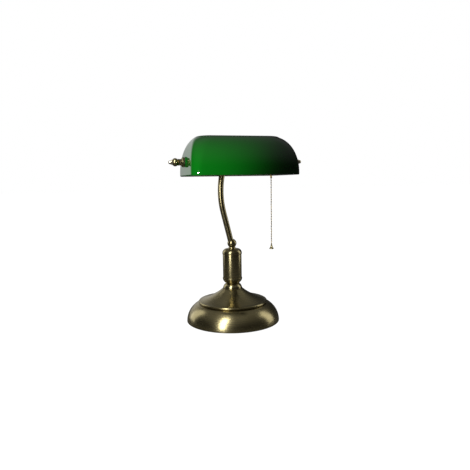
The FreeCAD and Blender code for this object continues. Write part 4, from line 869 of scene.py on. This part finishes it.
@dataclass
class Shade:
    """Moulded glass with rounded ends, its pads and grommets."""

    low: Vector = field(default_factory=lambda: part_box("shade_glass")[0])
    high: Vector = field(default_factory=lambda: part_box("shade_glass")[1])
    pivot_rise: float = 24.5
    wall: float = 4.0
    straight: float = 4.0
    end_round: float = 25.5
    side_round: float = 54.0
    end_power: float = 2.1
    side_power: float = 1.95
    corner: float = 17.0
    corner_growth: float = 0.9
    corner_limit: float = 0.85
    hole: float = 6.2
    seat: float = 9.5
    seat_depth: float = 7.0

    @property
    def half_length(self) -> float:
        """Half the glass's length in millimetres."""
        return (self.high.x - self.low.x) / 2 / MM

    @property
    def half_width(self) -> float:
        """Half the glass's width in millimetres."""
        return (self.high.y - self.low.y) / 2 / MM

    @property
    def height(self) -> float:
        """The glass's height in millimetres."""
        return (self.high.z - self.low.z) / MM

    @property
    def middle(self) -> np.ndarray:
        """Centre of the rim's rectangle, in metres."""
        return np.array([(self.low.x + self.high.x) / 2, (self.low.y + self.high.y) / 2, self.low.z])

    def ring(self, half_x: np.ndarray, half_y: np.ndarray, corner: np.ndarray, z: np.ndarray) -> np.ndarray:
        """Rounded rectangles at several heights, with the same points round each.

        Each side's points are spread evenly; each corner is a quarter circle.

        Args:
            half_x: half the length at each height, in millimetres.
            half_y: half the width at each height.
            corner: the corner radius at each height.
            z: the heights.

        Returns:
            One row of points for each height.
        """
        turns = np.linspace(0.0, math.pi / 2, 15)
        spans = np.linspace(-1.0, 1.0, 33)[1:-1]
        columns_x, columns_y = [], []
        for quarter in range(4):
            sx, sy = ((1, 1), (-1, 1), (-1, -1), (1, -1))[quarter]
            angle = turns + quarter * math.pi / 2
            columns_x.append((sx * (half_x - corner))[:, None] + corner[:, None] * np.cos(angle))
            columns_y.append((sy * (half_y - corner))[:, None] + corner[:, None] * np.sin(angle))
            flat = ((half_x - corner), (half_y - corner))[quarter % 2][:, None] * -spans
            if quarter % 2 == 0:
                columns_x.append(sx * flat)
                columns_y.append(np.broadcast_to((sy * half_y)[:, None], flat.shape))
            else:
                columns_x.append(np.broadcast_to((sx * half_x)[:, None], flat.shape))
                columns_y.append(sy * flat)
        x, y = np.hstack(columns_x), np.hstack(columns_y)
        return np.stack([x, y, np.broadcast_to(z[:, None], x.shape)], axis=-1)

    def levels(self, inset: float) -> np.ndarray:
        """Rings of one skin from its upright edge to the middle of its top.

        Over the curve, height share = 1 - (1 - step)^2.2, and ends and sides
        fall in by 1 - (1 - share^power)^(1/power) of their rounding; the flat
        top shrinks to nothing.

        Args:
            inset: distance of the skin inside the outer one, in millimetres.

        Returns:
            One row of points for each ring, in millimetres.
        """
        share = 1.0 - (1.0 - np.linspace(0.0, 1.0, 46)) ** 2.2
        end_fall = self.end_round * (1.0 - (1.0 - share ** self.end_power) ** (1 / self.end_power))
        side_fall = self.side_round * (1.0 - (1.0 - share ** self.side_power) ** (1 / self.side_power))
        rise = self.straight + share * (self.height - self.straight - inset)
        half_x = self.half_length - inset - end_fall
        half_y = self.half_width - inset - side_fall
        corner = np.minimum(self.corner - inset + self.corner_growth * end_fall,
                            self.corner_limit * half_y)
        shrink = np.linspace(1.0, 0.0, 9)[1:]
        half_x = np.concatenate([half_x, half_x[-1] * shrink])
        half_y = np.concatenate([half_y, half_y[-1] * shrink])
        corner = np.concatenate([corner, corner[-1] * shrink])
        rise = np.concatenate([rise, np.full(len(shrink), rise[-1])])
        return self.ring(half_x, half_y, corner, rise)

    def rim(self) -> np.ndarray:
        """The polished lower edge: half a circle from the outer to the inner skin."""
        angle = np.linspace(0.0, math.pi, 13)
        half = self.wall / 2
        inset = half * (1.0 - np.cos(angle))
        z = half * (1.0 - np.sin(angle))
        return self.ring(self.half_length - inset, self.half_width - inset, self.corner - inset, z)

    def skin(self) -> Grid:
        """Both skins and the rim as one closed surface; the inside is white."""
        outer, inner = self.levels(0.0), self.levels(self.wall)
        rows = np.concatenate([outer[::-1], self.rim(), inner])
        grid = Grid(rows * MM + self.middle)
        inside_from = len(outer) + 8
        strip = np.arange(len(rows) - 1) >= inside_from
        grid.slots = np.repeat(strip.astype(int), rows.shape[1])
        return grid

    def seats(self) -> list[Grid]:
        """A flat ring of glass at each pivot hole."""
        end = self.half_length
        line = outline([
            (end - self.seat_depth, self.hole), (end - self.seat_depth, self.seat),
            (end, self.seat), (end, self.hole),
        ])
        centre = self.middle + (0, 0, self.pivot_rise * MM)
        return [about_x(line, centre, 64, sign, closed_rows=True) for sign in (-1, 1)]

    def bore(self, piece: bpy.types.Object) -> None:
        """Cut the pivot holes through both ends.

        Args:
            piece: the glass.
        """
        end = self.half_length * 1.1
        reach = (self.hole + self.seat) / 2
        line = outline([(-end, 0.0), (-end, reach), (end, reach), (end, 0.0)], 0.01)
        grid = about_x(line, self.middle + (0, 0, self.pivot_rise * MM), 48)
        mesh = bpy.data.meshes.new("hole_cutter")
        mesh.from_pydata(grid.points.reshape(-1, 3).tolist(), [], grid.faces().tolist())
        close(mesh)
        cutter = bpy.data.objects.new("hole_cutter", mesh)
        bpy.context.scene.collection.objects.link(cutter)
        modifier = piece.modifiers.new("holes", "BOOLEAN")
        modifier.operation = "DIFFERENCE"
        modifier.solver = "EXACT"
        modifier.object = cutter
        bpy.context.view_layer.update()
        graph = bpy.context.evaluated_depsgraph_get()
        cut = bpy.data.meshes.new_from_object(piece.evaluated_get(graph))
        piece.modifiers.clear()
        piece.data = cut
        bpy.data.objects.remove(cutter)
        bpy.data.meshes.remove(mesh)

    def make(self) -> None:
        """Build the glass and dress its pads and grommets."""
        glass = build("shade_glass_piece", [self.skin()], [GREEN, OPAL], "shade",
                      ["shade_glass"], crease=40)
        self.bore(glass)
        build("shade_seats_piece", self.seats(), [GREEN], "shade", crease=40)
        for side in ("left", "right"):
            smoothed(f"{side}_shade_grommet", RUBBER, "shade")
            smoothed(f"{side}_inner_pad", FELT, "shade")


@dataclass
class Knobs:
    """The turned knobs that hold the shade, one at each end."""

    collar: float = 8.6
    collar_length: float = 3.0
    neck: float = 5.6
    neck_length: float = 6.6
    ball: float = 7.2
    ball_length: float = 9.2
    ball_end: float = 4.6
    tip: float = 4.4
    tip_end: float = 2.9
    tip_length: float = 7.6

    def knob(self, side: str, sign: int, centre: Sequence[float], start: float) -> None:
        """One knob and its pale tip.

        Args:
            side: left or right.
            sign: -1 for left, 1 for right.
            centre: a point on the pivot axis at the shade's middle.
            start: distance of the knob's inner face from the centre, in millimetres.
        """
        ball = start + self.collar_length + self.neck_length
        end = ball + self.ball_length
        bulge = self.ball - self.ball_end
        ball_round = (self.ball_length ** 2 / 4 + bulge ** 2) / (2 * bulge)
        line = outline([
            (start, 0.0), (start, self.collar), (start + 1.7, self.collar),
            (start + 2.1, self.collar - 0.5), (start + 2.4, self.collar - 0.6),
            (start + self.collar_length, self.collar - 1.7),
            (start + self.collar_length, self.neck + 1.1),
            (start + self.collar_length + 1.2, self.neck),
            (ball - 1.2, self.neck), (ball - 0.3, self.neck + 0.7), (ball, self.ball_end),
            (end, self.ball_end, ball_round, 1), (end, 0.0),
        ], 0.2)
        build(f"{side}_knob_piece", [about_x(line, centre, 72, sign)], [TURNED],
              f"{side}_knob_set", [f"{side}_knob", f"{side}_knob_stud"])
        stop = end + self.tip_length
        cap_round = (4 + self.tip_end ** 2) / 4
        tip = outline([
            (end - 0.5, 0.0), (end - 0.5, self.tip), (end + 1.0, self.tip),
            (stop - 2.0, self.tip_end), (stop, 0.0, cap_round, 1),
        ], 0.3)
        build(f"{side}_finial_tip_piece", [about_x(tip, centre, 56, sign)], [PALE],
              f"{side}_knob_set", [f"{side}_finial_tip"])

    def stud(self, side: str, sign: int, centre: Sequence[float]) -> None:
        """The threaded stud: radius rises and falls along a helix.

        Radius = radius - depth (0.5 - 0.5 cos(turns along - sign angle)).

        Args:
            side: left or right.
            sign: -1 for left, 1 for right.
            centre: a point on the pivot axis at the shade's middle.
        """
        low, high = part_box(f"{side}_knob_stud")
        first, last = sorted((abs(low.x), abs(high.x)))
        radius, pitch, depth = 2.5 * MM, 0.8 * MM, 0.22 * MM
        along = np.arange(first, last, pitch / 8)[:, None]
        angles = np.arange(24) * TURN / 24
        wave = 0.5 - 0.5 * np.cos(TURN * along / pitch - sign * angles)
        reach = radius - depth * wave
        reach[0] = reach[-1] = 0.0
        reach[1] = radius - depth
        x = sign * np.broadcast_to(along, reach.shape)
        points = np.stack([x, reach * np.cos(angles), reach * np.sin(angles)], axis=-1)
        build(f"{side}_knob_stud_piece", [Grid(points + np.asarray(centre))], [STEEL],
              f"{side}_knob_set", crease=60)

    def make(self) -> None:
        """Build both knobs with their washers."""
        for side, sign in (("left", -1), ("right", 1)):
            low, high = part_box(f"{side}_knob")
            centre = (0.0, (low.y + high.y) / 2, (low.z + high.z) / 2)
            start = min(abs(low.x), abs(high.x)) / MM
            self.knob(side, sign, centre, start)
            self.stud(side, sign, centre)
            smoothed(f"{side}_knob_washer", TURNED, f"{side}_washer")


# ---------------------------------------------------------------- lamp holder, bulb and pull


@dataclass
class Holder:
    """The lamp holder with its switch, and the bulb in it."""

    thread_pitch: float = 3.63
    thread_depth: float = 0.55

    def centre(self) -> np.ndarray:
        """A point on the holder's axis."""
        low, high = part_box("bulb_cap")
        return np.array([0.0, (low.y + high.y) / 2, (low.z + high.z) / 2])

    def screw(self, node: str, body: str, finish: Finish, inner: bool) -> None:
        """A pressed thread: radius - depth (0.5 - 0.5 cos(turns along - angle)).

        Args:
            node: the CAD node that the thread stands for.
            body: the body it rides on.
            finish: its finish.
            inner: whether the solid's wall lies outside the thread.
        """
        low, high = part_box(node)
        radius = (high.z - low.z) / 2
        along = np.linspace(low.x, high.x, 90)[:, None]
        angles = np.arange(64) * TURN / 64
        wave = np.cos(TURN * along / (self.thread_pitch * MM) - angles)
        reach = radius - self.thread_depth * MM * (0.5 - 0.5 * wave)
        if not inner:
            reach = np.minimum(reach, radius - (along - high.x + 2.0 * MM).clip(0.0))
        wall = 0.35 * MM
        outer = np.stack([np.broadcast_to(along, reach.shape), reach * np.cos(angles),
                          reach * np.sin(angles)], axis=-1)
        under = np.stack([np.broadcast_to(along, reach.shape), (reach - wall) * np.cos(angles),
                          (reach - wall) * np.sin(angles)], axis=-1)
        points = np.concatenate([outer, under[::-1]]) + self.centre()
        build(f"{node}_piece", [Grid(points, closed_rows=True)], [finish], body, [node],
              crease=60)

    def make(self) -> None:
        """Dress the holder and the bulb."""
        smoothed("socket_cap", TURNED, "stand")
        smoothed("socket_shell", TURNED, "stand")
        smoothed("shell_liner", CARD, "stand")
        smoothed("switch_body", MOULDED, "stand")
        self.screw("lamp_thread_shell", "stand", YELLOW, True)
        paint(YELLOW, "centre_contact", "ratchet_drum")
        paint(STEEL, "drum_pin")
        smoothed("bulb_globe", FROSTED, "bulb")
        self.screw("bulb_cap", "bulb", LAMP_METAL, False)
        smoothed("bulb_insulator", MOULDED, "bulb")
        smoothed("bulb_contact", LAMP_METAL, "bulb")


@dataclass
class Pull:
    """The chain guide, the rod with its spring, the bead chain and its bell."""

    bead: float = 1.2
    pitch: float = 3.15

    def beads(self) -> None:
        """One small ball for each bead, all in one mesh."""
        low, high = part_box("chain_beads")
        count = round((high.z - low.z - 2 * self.bead * MM) / (self.pitch * MM)) + 1
        tops = np.linspace(high.z - self.bead * MM, low.z + self.bead * MM, count)
        tilt = np.linspace(-math.pi / 2, math.pi / 2, 9)
        line = np.stack([np.cos(tilt), np.sin(tilt)], axis=1) * self.bead * MM
        line[[0, -1], 0] = 0.0
        x, y = (low.x + high.x) / 2, (low.y + high.y) / 2
        balls = [about_z(line, (x, y, z), 14) for z in tops]
        for ball in balls:
            ball.cavity = None
        build("chain_beads_piece", balls, [YELLOW], "chain", ["chain_beads"], crease=80)

    def bell(self) -> None:
        """The pull at the chain's end, hollow underneath."""
        low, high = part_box("chain_pull")
        foot, top = low.z / MM, high.z / MM
        line = outline([
            (0.0, foot + 3.0), (2.0, foot + 1.2), (3.4, foot), (4.2, foot + 0.4, 0.7, -1),
            (4.1, foot + 1.3), (3.7, foot + 1.7), (1.5, top - 0.8, 9.0, 1), (1.5, top - 0.5),
            (0.9, top), (0.0, top),
        ], 0.15)
        x, y = (low.x + high.x) / 2, (low.y + high.y) / 2
        build("chain_pull_piece", [about_z(line, (x, y, 0.0), 48)], [SPUN_SMALL], "chain",
              ["chain_pull"])

    def make(self) -> None:
        """Build the chain and dress the rest."""
        self.beads()
        self.bell()
        smoothed("chain_guide", YELLOW, "stand")
        smoothed("chain_coupling", YELLOW, "chain_top")
        paint(YELLOW, "chain_links")
        smoothed("pull_rod", STEEL, "pull")
        smoothed("pull_spring", STEEL, "pull")


# ---------------------------------------------------------------- studio


@dataclass
class Studio:
    """Pale floor, soft lights and the camera.

    Attributes:
        eye: the camera's place.
        pan, tilt, roll: its turns in degrees, to the right, up and over.
        lens: its focal length in millimetres.
        aim: the point that the strip lights face.
        room, backdrop, ceiling: brightness of the parts of the world.
        spot_place, spot_aim: where the glass's spotlight stands and points.
        spot_power, spot_angle: its power in watts and its cone in degrees.
    """

    eye: tuple[float, float, float] = (-0.2242, -0.8672, 0.2696)
    pan: float = 14.89
    tilt: float = -6.53
    roll: float = 0.865
    lens: float = 35.76
    aim: tuple[float, float, float] = (0.0, -0.02, 0.2)
    room: float = 0.03
    backdrop: float = 0.6
    ceiling: float = 0.2
    spot_place: tuple[float, float, float] = (-0.42, -0.55, 0.30)
    spot_aim: tuple[float, float, float] = (-0.104, -0.12, 0.31)
    spot_power: float = 88.0
    spot_angle: float = 24.0

    def floor(self) -> None:
        """A wide pale floor."""
        mesh = bpy.data.meshes.new("floor")
        reach = 14.0
        corners = [(-reach, -reach, 0), (reach, -reach, 0), (reach, reach, 0), (-reach, reach, 0)]
        mesh.from_pydata(corners, [], [(0, 1, 2, 3)])
        shader = Shader("pale_floor")
        shader.set(Base_Color=opaque((0.12, 0.12, 0.12)), Roughness=1.0, Specular_IOR_Level=0.0)
        seen = shader.node("ShaderNodeLightPath", output="Is Camera Ray")
        glow = shader.blend(seen, (0.0, 0.0, 0.0), (1.0, 1.0, 1.0))
        shader.set(Emission_Color=glow, Emission_Strength=1.0)
        mesh.materials.append(shader.material)
        plane = bpy.data.objects.new("floor", mesh)
        bpy.context.scene.collection.objects.link(plane)

    def world(self) -> None:
        """White to the eye; to the lamp a dark room, a pale backdrop and ceiling.

        Brightness = room + backdrop near the way straight behind the lamp
        + ceiling, which grows with height.
        """
        world = bpy.data.worlds.new("studio")
        world.use_nodes = True
        nodes = Nodes(world.node_tree)
        x, y, z = nodes.split(nodes.node("ShaderNodeTexCoord", output="Generated"))
        behind = nodes.step(y * 0.98 - x * 0.18, 0.80, 0.96)
        above = nodes.step(z, 0.25, 1.0)
        glow = behind * self.backdrop + above * self.ceiling + self.room
        white = opaque((1.0, 1.0, 1.0))
        soft = nodes.node("ShaderNodeBackground", inputs={0: white, 1: glow})
        seen = nodes.node("ShaderNodeBackground", inputs={0: white, 1: 1.0})
        direct = nodes.node("ShaderNodeLightPath", output="Is Camera Ray")
        mixed = nodes.node("ShaderNodeMixShader", inputs={0: direct, 1: soft, 2: seen})
        nodes.node("ShaderNodeOutputWorld", inputs={0: mixed}, output=None)
        bpy.context.scene.world = world

    def light(
        self,
        name: str,
        place: Sequence[float],
        size: tuple[float, float],
        power: float,
        spares_glass: bool = False,
    ) -> None:
        """A rectangular soft light that faces the lamp.

        Args:
            name: the light's name.
            place: where it stands.
            size: its width and height.
            power: its power in watts.
            spares_glass: whether it leaves the glass unlit.
        """
        data = bpy.data.lights.new(name, "AREA")
        data.shape = "RECTANGLE"
        data.size, data.size_y = size
        data.energy = power
        lamp = bpy.data.objects.new(name, data)
        lamp.location = place
        way = Vector(self.aim) - Vector(place)
        lamp.rotation_euler = way.to_track_quat("-Z", "Y").to_euler()
        bpy.context.scene.collection.objects.link(lamp)
        if spares_glass:
            self.flag(lamp, "EXCLUDE")

    def flag(self, lamp: bpy.types.Object, state: str) -> None:
        """Link a light to the glass.

        Args:
            lamp: the light.
            state: EXCLUDE keeps it off the glass, INCLUDE keeps it on the glass alone.
        """
        group = bpy.data.collections.new(f"{lamp.name}_glass")
        for name in ("shade_glass_piece", "shade_seats_piece"):
            group.objects.link(bpy.data.objects[name])
        for member in group.collection_objects:
            member.light_linking.link_state = state
        lamp.light_linking.receiver_collection = group

    def spot(self) -> None:
        """A soft-edged spotlight on the left part of the glass."""
        data = bpy.data.lights.new("glass_spot", "SPOT")
        data.energy = self.spot_power
        data.spot_size = math.radians(self.spot_angle)
        data.spot_blend = 1.0
        data.shadow_soft_size = 0.02
        lamp = bpy.data.objects.new("glass_spot", data)
        lamp.location = self.spot_place
        way = Vector(self.spot_aim) - Vector(self.spot_place)
        lamp.rotation_euler = way.to_track_quat("-Z", "Y").to_euler()
        bpy.context.scene.collection.objects.link(lamp)
        self.flag(lamp, "INCLUDE")

    def camera(self) -> None:
        """A camera that looks level and a little down, turned to the right."""
        data = bpy.data.cameras.new("camera")
        data.sensor_width = 36.0
        data.lens = self.lens
        data.clip_start, data.clip_end = 0.01, 50.0
        camera = bpy.data.objects.new("camera", data)
        camera.location = self.eye
        upright = Euler((math.radians(90.0 + self.tilt), 0.0, math.radians(-self.pan)), "XYZ").to_matrix()
        rolled = Euler((0.0, 0.0, math.radians(-self.roll)), "XYZ").to_matrix()
        camera.rotation_euler = (upright @ rolled).to_euler()
        bpy.context.scene.collection.objects.link(camera)
        bpy.context.scene.camera = camera

    def make(self) -> None:
        """Set the whole studio up."""
        bpy.context.scene.view_settings.view_transform = "Standard"
        self.floor()
        self.world()
        self.light("key_strip", (-0.80, -0.95, 0.80), (0.36, 1.7), 20.0, spares_glass=True)
        self.light("right_strip", (1.05, -0.02, 0.45), (0.45, 1.0), 2.2, spares_glass=True)
        self.light("left_strip", (-0.75, 0.75, 0.45), (0.5, 1.0), 2.0, spares_glass=True)
        self.spot()
        self.camera()


def main() -> None:
    """Build the lamp piece by piece, then the studio."""
    logging.basicConfig(level=logging.INFO, format="%(name)s: %(message)s")
    for part in (Base(), Column(), Arm(), Shade(), Knobs(), Holder(), Pull(), Studio()):
        part.make()


if __name__ == "__main__":
    main()
